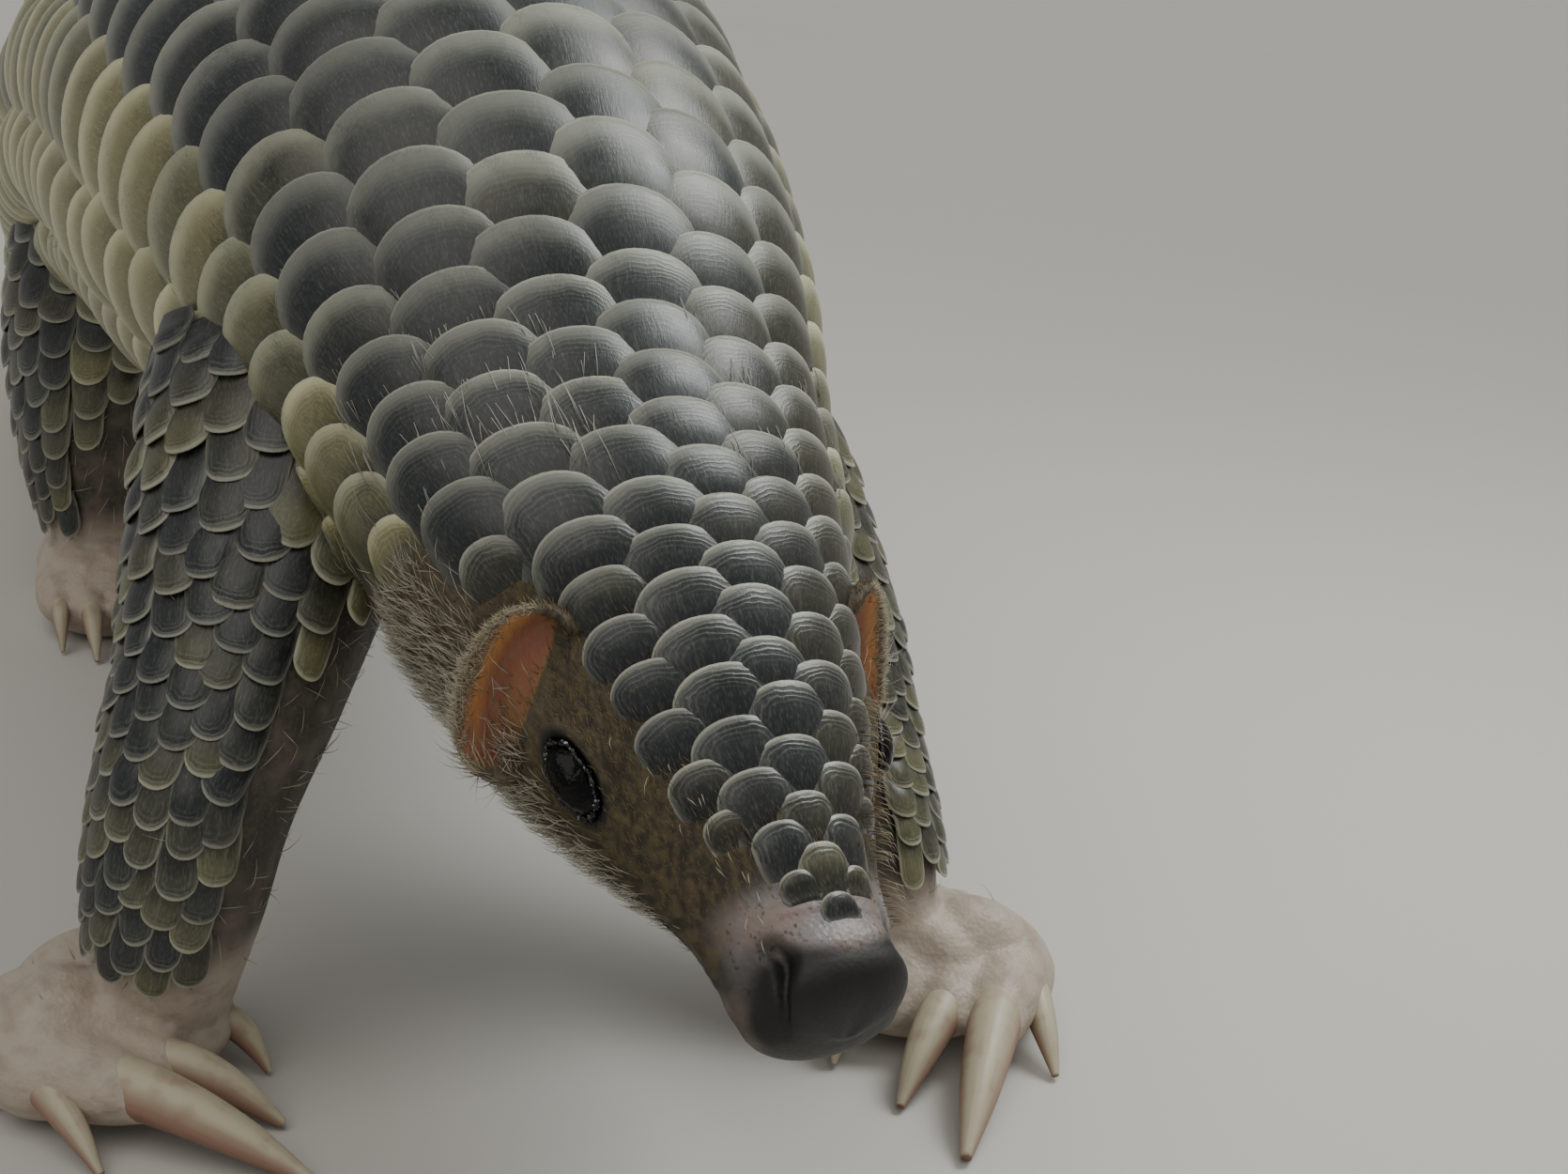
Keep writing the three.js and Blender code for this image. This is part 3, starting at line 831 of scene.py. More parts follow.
@dataclass(frozen=True)
class Lattice:
    """Columns of scales along a skin, each set half a step from its neighbours."""

    skin: Skin
    name: str
    pitch: float
    columns: int
    start: float
    end: float
    spacing: tuple[tuple[float, float], ...]
    reach: tuple[tuple[float, float], ...]
    twist: float = 0.0
    width_share: float = 0.675
    slope_most: float = 0.21
    warmth: float = 0.0
    # how strongly the scales show growth lines, pale rim band and painted edge glint
    worn: float = 1.0
    flank_share: float = 1.0
    jitter: float = 1.0
    closed: bool = False

    def spec(self, random: Draws) -> PlateSpec:
        """The places and sizes of all the scales.

        Args:
            random: draws that vary them.
        Returns:
            One number of each for every scale.
        """
        stations = np.linspace(self.start, self.end, 800)
        at, gaps = np.array(self.spacing).T
        gap = np.interp(stations, at, gaps)
        phase = np.concatenate([[0.0], np.cumsum(np.diff(stations) * 2 / (gap[1:] + gap[:-1]))])
        tips, turns, cells = [], [], []
        highest = self.columns - 1 if self.closed else self.columns
        total = int(phase[-1]) + 1
        for column in range(-self.columns, highest + 1):
            offset = 0.5 * (column % 2)
            steps = np.arange(offset, phase[-1], 1.0)
            tips.append(np.interp(steps, phase, stations))
            turns.append(np.full(len(steps), column * self.pitch))
            cell = np.stack([np.full(len(steps), column + self.columns), steps], -1)
            cells.append(cell)
        tip, turn, cell = np.concatenate(tips), np.concatenate(turns), np.concatenate(cells)
        limit = np.radians(np.interp(tip, *np.array(self.reach).T))
        keep = np.abs(turn) <= limit
        tip, turn, cell = tip[keep], turn[keep], cell[keep]
        count = len(tip)

        def vary(amount: float) -> Array:
            """Shares near 1, one for each scale."""
            return 1 + amount * self.jitter * random.uniform(-1, 1, count)

        gap = np.interp(tip, at, gaps)
        column_width = self.pitch * self._girth(tip)
        half_width = self.width_share * column_width * vary(0.04)
        arc = 0.95 * half_width * vary(0.06)
        length = 1.3 * gap * vary(0.04)
        thick = 0.045 * column_width
        slope = np.clip(2.6 * thick / gap, 0.1, self.slope_most) * np.interp(tip, [17, 34], [0.7, 1.0])
        edge = np.clip((limit[keep] - np.abs(turn)) / self.pitch, 0, 1)
        shrink = 0.8 + 0.2 * edge
        phi = self.skin.around(tip, np.clip(turn + self.twist, -math.pi, math.pi))
        phi = phi + random.uniform(-1, 1, count) * self.pitch * 0.03 * self.jitter
        first = tip < self._first_tip(turn, tip) + 0.6 * gap
        bordering = (edge < 0.9) & (tip < 80) & (self.name == "body")
        length = np.where(first, 0.3 * length, np.where(bordering, 0.62 * length, length))
        nosewards = np.zeros(count)
        if self.name == "body":
            length = length * np.interp(tip, [20, 28, 40], [0.55, 0.65, 1.0])
            nosewards = 0.30 * smoothstep(36 - tip, 0, 14)
        root = tip - (arc * shrink + length) + random.uniform(-1, 1, count) * gap * 0.05 * self.jitter
        lattice_size = np.array([2 * self.columns + 1, total + 1])
        uv_cell = np.concatenate([cell / lattice_size, np.repeat(1 / lattice_size[None], count, 0)], axis=1)
        return PlateSpec(
            s=root,
            phi=phi,
            half_width=half_width * shrink,
            arc=arc * shrink,
            length=length,
            slope=slope * vary(0.06),
            thick=thick,
            dome=np.interp(tip, [70, 120], [0.19, 0.16]) * half_width * vary(0.2),
            yaw=random.uniform(-1, 1, count) * math.radians(4) * self.jitter,
            sunk=np.where(first | bordering, 0.64, np.where(edge < 0.9, 0.6, 0.55)),
            tone=random.uniform(0, 1, count),
            flank=smoothstep(np.abs(np.degrees(turn) + 6), 46, 104) * self.flank_share + self.warmth + nosewards,
            worn=self.worn * random.uniform(0.6, 1.2, count),
            brown=np.maximum(smoothstep(np.degrees(turn), -4, 40), smoothstep(60 - tip, 0, 30) * 0.5),
            cell=uv_cell,
        )

    @staticmethod
    def _first_tip(turn: Array, tip: Array) -> Array:
        """The first tip of the column that each scale belongs to.

        Args:
            turn: how far round each scale sits.
            tip: its tip's place.
        Returns:
            A tip's place for each scale.
        """
        first = np.zeros(len(tip))
        for column in np.unique(np.round(turn, 6)):
            here = np.abs(turn - column) < 1e-5
            first[here] = tip[here].min()
        return first

    def _girth(self, s: Array) -> Array:
        """The girth over two pi.

        Args:
            s: the distances along the spine.
        Returns:
            The girth at each of them.
        """
        row = self.skin.line.read(s)
        width, height = row[..., 3], (row[..., 4] + row[..., 5]) / 2
        return np.sqrt((width**2 + height**2) / 2)


@dataclass(frozen=True)
class ScaleFinish:
    """Horn of the scales: dark slate at heart, darkened towards the root by painted shade, paler towards its rim,
    partly its own colour and partly painted highlight where the rim catches the light, with growth lines that follow
    the rim and a painted glint on its edge.
    """

    slate: Colour = srgb(0x262A2C)
    brown: Colour = srgb(0x363427)
    flank: Colour = srgb(0x817E58)
    rim: Colour = srgb(0x93958A)
    rim_flank: Colour = srgb(0xDAD8AE)
    # darkest colour: painted shade towards each scale's root, and random darker mottling
    root_shadow_and_mottle: Colour = srgb(0x131313)
    # painted highlight along each scale's edge
    glint: Colour = srgb(0xC6C3B2)
    line_spacing: float = 0.8

    def dress(self, piece: Piece) -> None:
        """Gives a piece this finish.

        Args:
            piece: the piece.
        """
        mix = Recipe(piece.name)
        rim, tone, size = mix.value("rim"), mix.value("tone"), mix.value("size")
        along, across = mix.value("along"), mix.value("across")
        tipward = mix.value("toward").rise(0.35, 0.95)
        share = rim / size
        small = size.rise(6.0, 14.0, 1.0, 0.0)
        cloud = mix.noise(160.0, 4.0)
        streaks = mix.noise(1.0, 3.0, mix.vector(across * 2.2, along * 0.25, tone * 40.0))
        grain = mix.noise(1.0, 3.0, mix.vector(across * 5.5, along * 1.1, tone * 90.0))
        wobble = mix.noise(1.0, 2.0, mix.vector(across * 0.3, along * 0.3, tone * 20.0))
        lines = ((rim + wobble * 1.8) * (2 * math.pi / self.line_spacing)).sine() * 0.5 + 0.5
        # how strongly each scale shows its growth lines, its pale rim band and its painted edge glint
        worn = mix.value("worn")
        lines = lines ** 3.0 * share.rise(0.12, 0.75, 1.0, 0.0) * (small * 0.8 + 0.2) * tipward * worn
        # pale band along the rim: partly the horn's own paler edge, partly painted highlight where the rim catches
        # the light
        width = 0.50 - small * 0.26
        soft = ((share + (wobble - 0.5) * 0.14 + (grain - 0.5) * 0.08) / width).rise(0.0, 1.0, 1.0, 0.0)
        soft = soft * (0.30 + tipward * 0.70) * (0.45 + worn * 0.55)
        # painted highlight: a glint along the rim's edge
        edge_glint = rim.rise(0.1, 0.6, 1.0, 0.0) * (0.15 + tipward * 0.85)
        warm = (mix.value("brown") * 0.8 + (tone - 0.5) * 0.5 + (cloud - 0.5) * 0.5).rise(0.15, 0.70)
        side = (mix.value("flank") + (tone - 0.5) * 0.40 + (cloud - 0.5) * 0.2).rise(0.08, 0.88)
        heart = mix.mix(side, mix.mix(warm, self.slate, self.brown), self.flank)
        pale = mix.mix(side, self.rim, self.rim_flank)
        # painted shade: darker towards the root, where the scale before overlaps it
        base = mix.mix(tipward.rise(0.0, 0.8, 0.65, 0.0), heart, self.root_shadow_and_mottle)
        # the pale rim band, partly painted highlight
        base = mix.mix(soft * (0.70 + tone * 0.25), base, pale)
        base = mix.mix(streaks.rise(0.50, 0.80, 0.0, 0.12), base, pale)
        base = mix.mix(grain.rise(0.50, 0.72, 0.0, 0.16), base, pale)
        base = mix.mix(lines * 0.5, base, pale)
        # painted glint along the edge
        base = mix.mix(edge_glint * (0.35 + small * 0.30) * worn, base, self.glint)
        # random darker mottling over the horn
        base = mix.mix((cloud * 0.5 + grain * 0.5).rise(0.28, 0.5, 0.40, 0.0), base, self.root_shadow_and_mottle)
        height = lines * 0.075 + streaks * 0.03 + grain * 0.04
        normal = mix.bump(height, 0.8, MILLIMETRE)
        rough = 0.33 + (cloud - 0.5) * 0.24 + soft * 0.08
        mix.dress(piece, {"Base Color": base, "Roughness": rough, "Normal": normal, "Specular IOR Level": 0.5})


@dataclass
class Scales:
    """All the scales, on the spine and on the legs."""

    mould: PlateMould = PlateMould()
    body_mould: PlateMould = PlateMould(across=21)
    finish: ScaleFinish = ScaleFinish()
    column: float = math.radians(21.5)
    tail_column: float = math.radians(36)
    leg_column: float = math.radians(19)
    tail_at: float = 452.0
    floor_gap: float = 0.25
    cuts: tuple[tuple[str, tuple[float, ...]], ...] = (("body", (0, 95, 220, 340, 900)), ("tail", (0, 600, 900)))

    def lattices(self) -> list[Lattice]:
        """The rows of scales of each part of the body.

        Returns:
            A lattice for each part of the body.
        """
        body = Lattice(
            skin=SPINE,
            name="body",
            pitch=self.column,
            columns=6,
            start=17.5,
            end=self.tail_at,
            spacing=((17, 8.2), (85, 8.2), (100, 10), (130, 10), (150, 10.5), (185, 12.5), (230, 14.5), (460, 14.5)),
            reach=(
                (17, 12), (21, 24), (27, 45), (34, 50), (70, 54), (84, 66),
                (92, 84), (104, 104), (130, 122), (170, 134), (900, 134),
            ),
            twist=math.radians(4),
        )
        tail = Lattice(
            skin=SPINE,
            name="tail",
            pitch=self.tail_column,
            columns=5,
            start=self.tail_at + 6,
            end=SPINE.length + 5,
            spacing=((440, 17), (600, 17), (700, 14), (800, 10)),
            reach=((0, 180), (900, 180)),
            closed=True,
        )
        legs = [
            Lattice(
                skin=skin,
                name=name,
                pitch=self.leg_column,
                columns=8,
                start=4,
                end=skin.length - 7,
                spacing=((0, 9.5), (45, 7.5), (80, 5.4), (200, 5)),
                reach=((0, 150), (36, 132), (60, 92), (200, 86)),
                twist=math.radians(34 if name.endswith("right") else -34),
                jitter=2.6,
                warmth=0.19,
                worn=0.58,
                flank_share=0.25,
            )
            for name, skin in LEGS.items()
        ]
        return [body, tail, *legs]

    def build(self, random: Draws) -> list[Piece]:
        """Makes the pieces.

        Args:
            random: draws that vary the scales.
        Returns:
            One piece for each length of the body and for each leg.
        """
        pieces = []
        for lattice in self.lattices():
            spec = lattice.spec(random)
            cuts = dict(self.cuts).get(lattice.name, (-50, 900))
            for number, (low, high) in enumerate(zip(cuts, cuts[1:])):
                keep = (spec.s >= low) & (spec.s < high)
                mould = self.body_mould if lattice.name == "body" else self.mould
                form = mould.cast(lattice.skin, spec.only(keep))
                form.points[:, 2] = np.maximum(form.points[:, 2], self.floor_gap)
                piece = form.object(f"scales_{lattice.name}_{number + 1}")
                self.finish.dress(piece)
                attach(piece, "root")
                pieces.append(piece)
        return pieces


# Flesh


def scaled_share(s: Array, phi: Array) -> Array:
    """How surely the spine is covered by scales at a place, from 0 to 1.

    Args:
        s: distances along the spine.
        phi: angles from its top.
    Returns:
        A share for each place.
    """
    reach = np.interp(s, [14, 24, 34, 70, 84, 100, 130, 170], [-20, 20, 44, 50, 60, 84, 104, 126])
    turned = np.abs(np.degrees(phi) - 4)
    return smoothstep(reach - turned, -2, 8)


@dataclass(frozen=True)
class Groove:
    """A furrow pressed into the skin along points."""

    path: tuple[tuple[float, float], ...]
    radius: tuple[float, ...]
    depth: tuple[float, ...]

    def press(self, points: Array, outward: Array, side: int) -> Array:
        """Points moved inward near the furrow.

        Args:
            points: where they are.
            outward: directions out of the skin.
            side: -1 for the right side, 1 for the left.
        Returns:
            Where they go.
        """
        path, radius, depth = self._course(side)
        near = np.linalg.norm(points[..., None, :] - path, axis=-1) / radius
        push = (depth * np.exp(-(near**2))).max(-1)
        return points - outward * push[..., None]

    def share(self, points: Array, side: int) -> Array:
        """How deep in the furrow each point lies, from 0 to 1.

        Args:
            points: the points.
            side: -1 for the right of the head, 1 for the left.
        Returns:
            A share for each point.
        """
        path, radius, depth = self._course(side)
        away = np.linalg.norm(points[:, None, :] - path, axis=-1) / (radius + depth * 0.45)
        return np.exp(-(away**4)).max(-1)

    def _course(self, side: int) -> tuple[Array, Array, Array]:
        """Points, radii and depths along the furrow.

        Args:
            side: -1 for the right of the head, 1 for the left.
        Returns:
            The points, with a radius and a depth for each.
        """
        s, phi = np.array(self.path).T
        rows = SPINE.point(s, side * np.radians(phi), 0.0)
        fine = np.linspace(0, len(rows) - 1, 40)
        path = np.stack([np.interp(fine, np.arange(len(rows)), rows[:, k]) for k in range(3)], -1)
        radius = np.interp(fine, np.arange(len(rows)), self.radius)
        depth = np.interp(fine, np.arange(len(rows)), self.depth)
        return path, radius, depth


@dataclass(frozen=True)
class FleshFinish:
    """Thin-haired skin: short brown fur on the face, pale below, bare and dark on the nose pad, with painted shade in
    the nostrils, beside them and in the mouth's groove.
    """

    fur: Colour = srgb(0x54492F)
    fur_dark: Colour = srgb(0x2A241A)
    pale: Colour = srgb(0x766E5B)
    pink: Colour = srgb(0x8A776D)
    lilac: Colour = srgb(0x858081)
    pad: Colour = srgb(0x0F0D0B)
    pad_worn: Colour = srgb(0x1F1B18)
    bare: Colour = srgb(0x3B3A34)
    ear_inside: Colour = srgb(0xBE8247)
    ear_root: Colour = srgb(0x8A5540)
    sole: Colour = srgb(0xC0B3A2)
    sole_dark: Colour = srgb(0xA99A8A)
    speck: Colour = srgb(0x6E5F42)
    # painted shade in the nostrils, the hollows beside them and the mouth's groove
    furrow: Colour = srgb(0x0E0B0B)
    lid: Colour = srgb(0x100D0C)

    def dress(self, piece: Piece) -> None:
        """Gives a skin this finish, from the values that it keeps at its points.

        Args:
            piece: the piece.
        """
        mix = Recipe(piece.name)
        pad, fur, low = mix.value("pad"), mix.value("fur"), mix.value("low")
        pink, ear, root = mix.value("pink"), mix.value("ear"), mix.value("ear_root")
        here = mix.place()
        cloud = mix.noise(220.0, 4.0)
        broad = mix.noise(70.0, 2.0)
        fine = mix.noise(1300.0, 2.0)
        hairs = mix.noise(1100.0, 3.0, mix.stretched(here, 1.0, 0.22, 0.45))
        pores = mix.cells(1100.0)
        wrinkles = mix.cells(300.0)
        coat = mix.mix((hairs * 0.7 + cloud * 0.3).rise(0.36, 0.66), self.fur_dark, self.fur)
        coat = mix.mix((fine * 0.7 + hairs * 0.3).rise(0.52, 0.70, 0.0, 0.45), coat, self.speck)
        coat = mix.mix(low * (0.7 + hairs * 0.3), coat, self.pale)
        bare = mix.mix((broad * 0.5 + cloud * 0.5).rise(0.42, 0.75, 0.0, 0.6), self.bare, self.pink)
        base = mix.mix((fur + (fine - 0.5) * 0.8).rise(0.25, 0.7), bare, coat)
        shiny = mix.mix((cloud * 0.6 + fine * 0.4).rise(0.35, 0.65), self.lilac, self.pink)
        shiny = mix.mix((fine * 0.5 + hairs * 0.5).rise(0.54, 0.68, 0.0, 0.8), shiny, self.fur_dark)
        base = mix.mix(pink * (0.8 + fine * 0.3), base, shiny)
        creases = mix.noise(260.0, 5.0, mix.stretched(here, 1.0, 0.35, 1.6))
        sole = mix.mix((cloud * 0.4 + creases * 0.6).rise(0.42, 0.68), self.sole, self.sole_dark)
        base = mix.mix(mix.value("palm") * 0.85, base, sole)
        inside = mix.mix(root, self.ear_inside, self.ear_root)
        base = mix.mix(ear, base, mix.mix(hairs.rise(0.4, 0.8, 0.0, 0.4), inside, self.pale))
        rubber = mix.mix((cloud * 0.6 + broad * 0.2 + fine * 0.2).rise(0.35, 0.7), self.pad, self.pad_worn)
        base = mix.mix(pad, base, rubber)
        # painted shade: the nostrils, their hollows and the mouth's groove are darkened
        base = mix.mix(mix.value("furrow") * 0.85, base, self.furrow)
        base = mix.mix(mix.value("lid"), base, self.lid)
        height = hairs * fur * 0.45 + pores * (1 - fur) * (1 - pad * 0.65) * 0.14
        height = height + wrinkles * (1 - fur) * (1 - pad) * 0.18
        height = height + creases * (1 - fur) * (1 - pad) * 0.5
        normal = mix.bump(height, 0.7, MILLIMETRE)
        rough = 0.66 - pad * 0.12 - pink * (1 - pad) * 0.22 + (fine - 0.5) * 0.2
        mix.dress(
            piece,
            {"Base Color": base, "Roughness": rough, "Normal": normal, "Subsurface Weight": 0.06,
             "Subsurface Scale": 0.002, "Subsurface Radius": (1.0, 0.4, 0.25)},
        )


EYE_PLACE = (49.8, 79.0)
EAR_PLACE = (63.0, 73.0)
EAR_SINK = 2.5
EYE_RADIUS = 5.3
EYE_SINK = 1.1
EYE_TILT = math.radians(-12)
EYE_LONG = 1.45
EYE_SHORT = 0.76


def eye_axes(side: int) -> tuple[Array, Array, Array, Array]:
    """Where an eye sits, its long axis, its short axis and outward.

    Args:
        side: -1 for the right eye, 1 for the left.
    Returns:
        The place and the three directions.
    """
    here, tailward, across, out = SPINE.local(EYE_PLACE[0], side * math.radians(EYE_PLACE[1]))
    upward = -side * across
    long_axis = tailward * math.cos(EYE_TILT) + upward * math.sin(EYE_TILT)
    short_axis = upward * math.cos(EYE_TILT) - tailward * math.sin(EYE_TILT)
    return here, long_axis, short_axis, out


def round_eye(points: Array, side: int) -> tuple[Array, Array]:
    """Where points lie round an eye.

    Args:
        points: the points.
        side: -1 for the right eye, 1 for the left.
    Returns:
        How far they are from its middle, stretched to its opening, and how far out of the skin.
    """
    here, long_axis, short_axis, out = eye_axes(side)
    offset = points - here
    return np.hypot(offset @ long_axis / EYE_LONG, offset @ short_axis / EYE_SHORT), offset @ out


def round_ear(points: Array, side: int) -> Array:
    """Where points lie round an ear: backward, along it towards the jaw, and out of the skin.

    Args:
        points: the points.
        side: -1 for the right ear, 1 for the left.
    Returns:
        The three distances of each point, in rows.
    """
    here, long_axis, backward, out = Head.ear_axes(side)
    offset = points - here
    return np.stack([offset @ backward, offset @ long_axis, offset @ out])


NOSTRIL = Groove(
    path=((12.2, 56), (12, 48), (9.5, 45), (7, 52), (4.5, 60), (2.5, 70), (1.3, 84)),
    radius=(1.0, 1.5, 1.8, 1.4, 1.0, 0.8, 0.6),
    depth=(1.2, 3.2, 3.8, 3.4, 2.6, 1.8, 0.8),
)
NOSTRIL_HOLLOW = Groove(
    path=((12.0, 60), (9.0, 65), (6.0, 73), (3.5, 84)),
    radius=(2.2, 3.4, 3.4, 2.4),
    depth=(0.9, 2.1, 2.1, 0.9),
)
MOUTH = Groove(
    path=((11, 180), (13, 150), (19, 124), (30, 117), (41, 112)),
    radius=(0.9, 0.9, 0.9, 0.8, 0.5),
    depth=(1.4, 1.4, 1.3, 1.1, 0.2),
)


@dataclass(frozen=True)
class Swelling:
    """A soft swelling on both sides of the head."""

    height: float
    s: float
    length: float
    degrees: float
    width: float

    def lift(self, s: Array, degrees: Array) -> Array:
        """How far it lifts the skin."""
        ahead, around = (s - self.s) / self.length, (degrees - self.degrees) / self.width
        return self.height * np.exp(-(ahead**2) - around**2)


BROW = Swelling(height=0.9, s=52, length=9, degrees=62, width=10)
CHEEK = Swelling(height=1.2, s=60, length=16, degrees=118, width=26)


@dataclass
class Head:
    """The skin of the head with its nose, lids and ears."""

    end: float = 103.0
    nose_round: float = 8.0
    voxel: float = 0.5
    kept: float = 0.72
    finish: FleshFinish = FleshFinish()

    def surface(self, s: Array, phi: Array) -> Array:
        """The head's skin before folds, rounded off at the nose.

        Args:
            s: distances along the spine.
            phi: angles from its top.
        Returns:
            A point for each place.
        """
        blunt = np.clip((self.nose_round - s) / self.nose_round, 0, 1)
        full = np.power(np.clip(1 - blunt**2.4, 0, 1), 1 / 2.4)
        kept = np.maximum(s, self.nose_round)
        deep = scaled_share(s, phi) * smoothstep(s, 20, 40)
        lift = -0.3 - 1.2 * deep - 3.0 * smoothstep(s, self.end - 12, self.end)
        lift = lift + 0.35 * smoothstep(14 - s, 0, 3)
        centre, here = SPINE.line.read(kept)[..., :3], SPINE.line.read(s)[..., :3]
        return here + (SPINE.point(kept, phi, lift) - centre) * full[..., None]

    def flesh(self) -> Form:
        """A fine grid of the head with its furrows and sockets.

        Returns:
            The head's form.
        """
        nose = self.nose_round * (1 - np.cos(np.linspace(0.03, 1, 26) * math.pi / 2))
        stations = np.concatenate([nose, np.linspace(self.nose_round + 0.4, self.end, 170)])
        s, phi = round_grid(stations, 280)
        signed = np.where(phi > math.pi, phi - 2 * math.pi, phi)
        points = self.surface(s, signed)
        outward = unit(points - SPINE.line.read(s + 2.0)[..., :3])
        degrees = np.degrees(np.abs(signed))
        folds = 0.13 * np.sin(s * 2.9 + 2.2 * np.sin(signed * 3)) * smoothstep(s, 12, 14) * smoothstep(30 - s, 0, 10)
        lobes = 0.7 * np.exp(-(((degrees - 38) / 26) ** 2)) * smoothstep(13 - s, 0, 5)
        swellings = BROW.lift(s, degrees) + CHEEK.lift(s, degrees)
        points = points + outward * (folds + lobes + swellings)[..., None]
        for side in SIDES.values():
            for groove in (NOSTRIL_HOLLOW, NOSTRIL, MOUTH):
                points = groove.press(points, outward, side)
            flat, above = round_eye(points, side)
            ring = np.exp(-(((flat - 5.9) / 1.5) ** 2)) - 2.4 * smoothstep(5.2 - flat, 0, 2.2)
            points = points + outward * (ring * (above > -8))[..., None]
        return tube(points)

    def build(self) -> Piece:
        """Makes the skin of the head.

        Returns:
            The piece.
        """
        forms = [self.flesh()] + [self.cup(side) for side in SIDES.values()]
        piece = remeshed(Form.joined(forms), self.voxel, "skin_head", self.kept)
        points, normals = points_of(piece), normals_of(piece)
        s, phi = self.places(points)
        degrees = np.degrees(np.abs(phi))
        inside, root = self.ear_shares(points, normals)
        # where the nostrils, their hollows and the mouth's groove get painted shade
        furrow = np.max([g.share(points, side) for g in (NOSTRIL, MOUTH) for side in SIDES.values()], axis=0)
        hollow = np.max([NOSTRIL_HOLLOW.share(points, side) for side in SIDES.values()], axis=0)
        furrow = np.maximum(furrow, hollow * 0.6)
        lips = 5.5 * np.exp(-(((degrees - 104) / 22) ** 2))
        set_value(piece, "pad", smoothstep(11.6 - s - 1.8 * np.cos(3 * phi) - lips, 0, 3.4))
        set_value(piece, "pink", smoothstep(24 - s, 0, 6) * smoothstep(96 - degrees, 0, 40))
        set_value(piece, "fur", smoothstep(s + 5 * smoothstep(degrees, 60, 100), 15, 22))
        low = smoothstep(degrees, 100, 124) * smoothstep(s, 30, 50)
        low = np.maximum(low, 0.5 * smoothstep(s, 46, 66) * smoothstep(degrees, 58, 86))
        set_value(piece, "low", np.maximum(low, self.leaf_share(points)))
        set_value(piece, "ear", inside)
        set_value(piece, "palm", np.zeros(len(points)))
        set_value(piece, "ear_root", root)
        set_value(piece, "furrow", furrow)
        set_value(piece, "lid", self.lid_share(points))
        self.finish.dress(piece)
        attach(piece, "root")
        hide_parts("nose", "head", "ear_right", "ear_left")
        return piece

    @staticmethod
    def ear_axes(side: int) -> tuple[Array, Array, Array, Array]:
        """Where an ear grows, its long axis towards the jaw, the way it leans back, and outward.

        Args:
            side: -1 for the right ear, 1 for the left.
        Returns:
            The place and the three directions.
        """
        here, tailward, across, out = SPINE.local(EAR_PLACE[0], side * math.radians(EAR_PLACE[1]))
        down = -across * side
        tilt = math.radians(24)
        long_axis = down * math.cos(tilt) - tailward * math.sin(tilt)
        backward = tailward * math.cos(tilt) + down * math.sin(tilt)
        return here - out * EAR_SINK, long_axis, backward, out

    def cup(self, side: int) -> Form:
        """One ear as a thick curved leaf behind its opening.

        Args:
            side: -1 for the right ear, 1 for the left.
        Returns:
            A closed form, sunk into the head at its foot.
        """
        here, long_axis, backward, out = self.ear_axes(side)
        reach = math.radians(122)
        turn, height = np.meshgrid(np.linspace(-reach, reach, 40), np.linspace(0, 1, 16), indexing="ij")
        fade = np.cos(turn / reach * math.pi / 2) ** 0.8
        tall = 9.5 * (0.12 + 0.88 * fade)
        foot = long_axis * (np.sin(turn) * 13.2)[..., None] + backward * (np.cos(turn) * 4.6)[..., None]
        lean = (height * tall * (0.45 + 0.30 * fade) - 1.6 * height**3 * fade)[..., None]
        spread = long_axis * (np.sin(turn) * height * 1.2)[..., None]
        rise = out * (height * tall * 0.66 - 3.5 * (1 - height))[..., None]
        middle = here + foot + backward * lean + spread + rise
        thick = (1.5 - 0.35 * height) * (0.6 + 0.4 * fade)
        normal = unit(np.cross(np.gradient(middle, axis=0), np.gradient(middle, axis=1)))
        front, back = middle + normal * thick[..., None], middle - normal * thick[..., None]
        crown = (front[:, -1:] + back[:, -1:]) / 2 + out * 1.1
        return tube(np.concatenate([front, crown, back[:, ::-1]], axis=1))

    @staticmethod
    def places(points: Array) -> tuple[Array, Array]:
        """Distance along the spine and angle from its top for points near the head.

        Args:
            points: the points.
        Returns:
            The distance and the angle of each.
        """
        stations = np.linspace(0, 110, 221)
        line = SPINE.line.read(stations)[:, :3]
        axis = unit(line[60] - line[0])
        along = (points - line[0]) @ axis
        s = np.interp(along, (line - line[0]) @ axis, stations)
        _, side, up = SPINE.axes(s)
        offset = points - SPINE.line.read(s)[:, :3]
        return s, np.arctan2((offset * side).sum(1), (offset * up).sum(1))

    @classmethod
    def ear_shares(cls, points: Array, normals: Array) -> tuple[Array, Array]:
        """How far inside an ear's cup each point lies, and how near its root.

        Args:
            points: the points.
            normals: the directions out of the skin there.
        Returns:
            Both shares of each point.
        """
        share, root = np.zeros(len(points)), np.zeros(len(points))
        for side in SIDES.values():
            _, _, backward, out = cls.ear_axes(side)
            x, y, z = round_ear(points, side)
            oval = 1 - (y / 14.0) ** 2 - (np.minimum(x - 3.4, 0) / 3.4) ** 2
            facing = smoothstep(normals @ (-backward + out * 0.35), 0.0, 0.45)
            leaf = 4.6 * np.sqrt(np.clip(1 - (y / 13.8) ** 2, 0, 1)) + np.maximum(z, 0) * 0.9 + 0.3
            inside = smoothstep(oval, 0, 0.35) * facing * smoothstep(z, -2, 1) * smoothstep(leaf - x, -0.6, 0.4)
            share = np.maximum(share, inside * (1 - 0.75 * smoothstep(z, EAR_SINK + 2.6, EAR_SINK + 4.6)))
            deep = np.maximum(smoothstep(EAR_SINK + 3.0 - z, 0, 3), smoothstep(y, 2, 12) * 0.9)
            root = np.maximum(root, inside * deep)
        return share, root

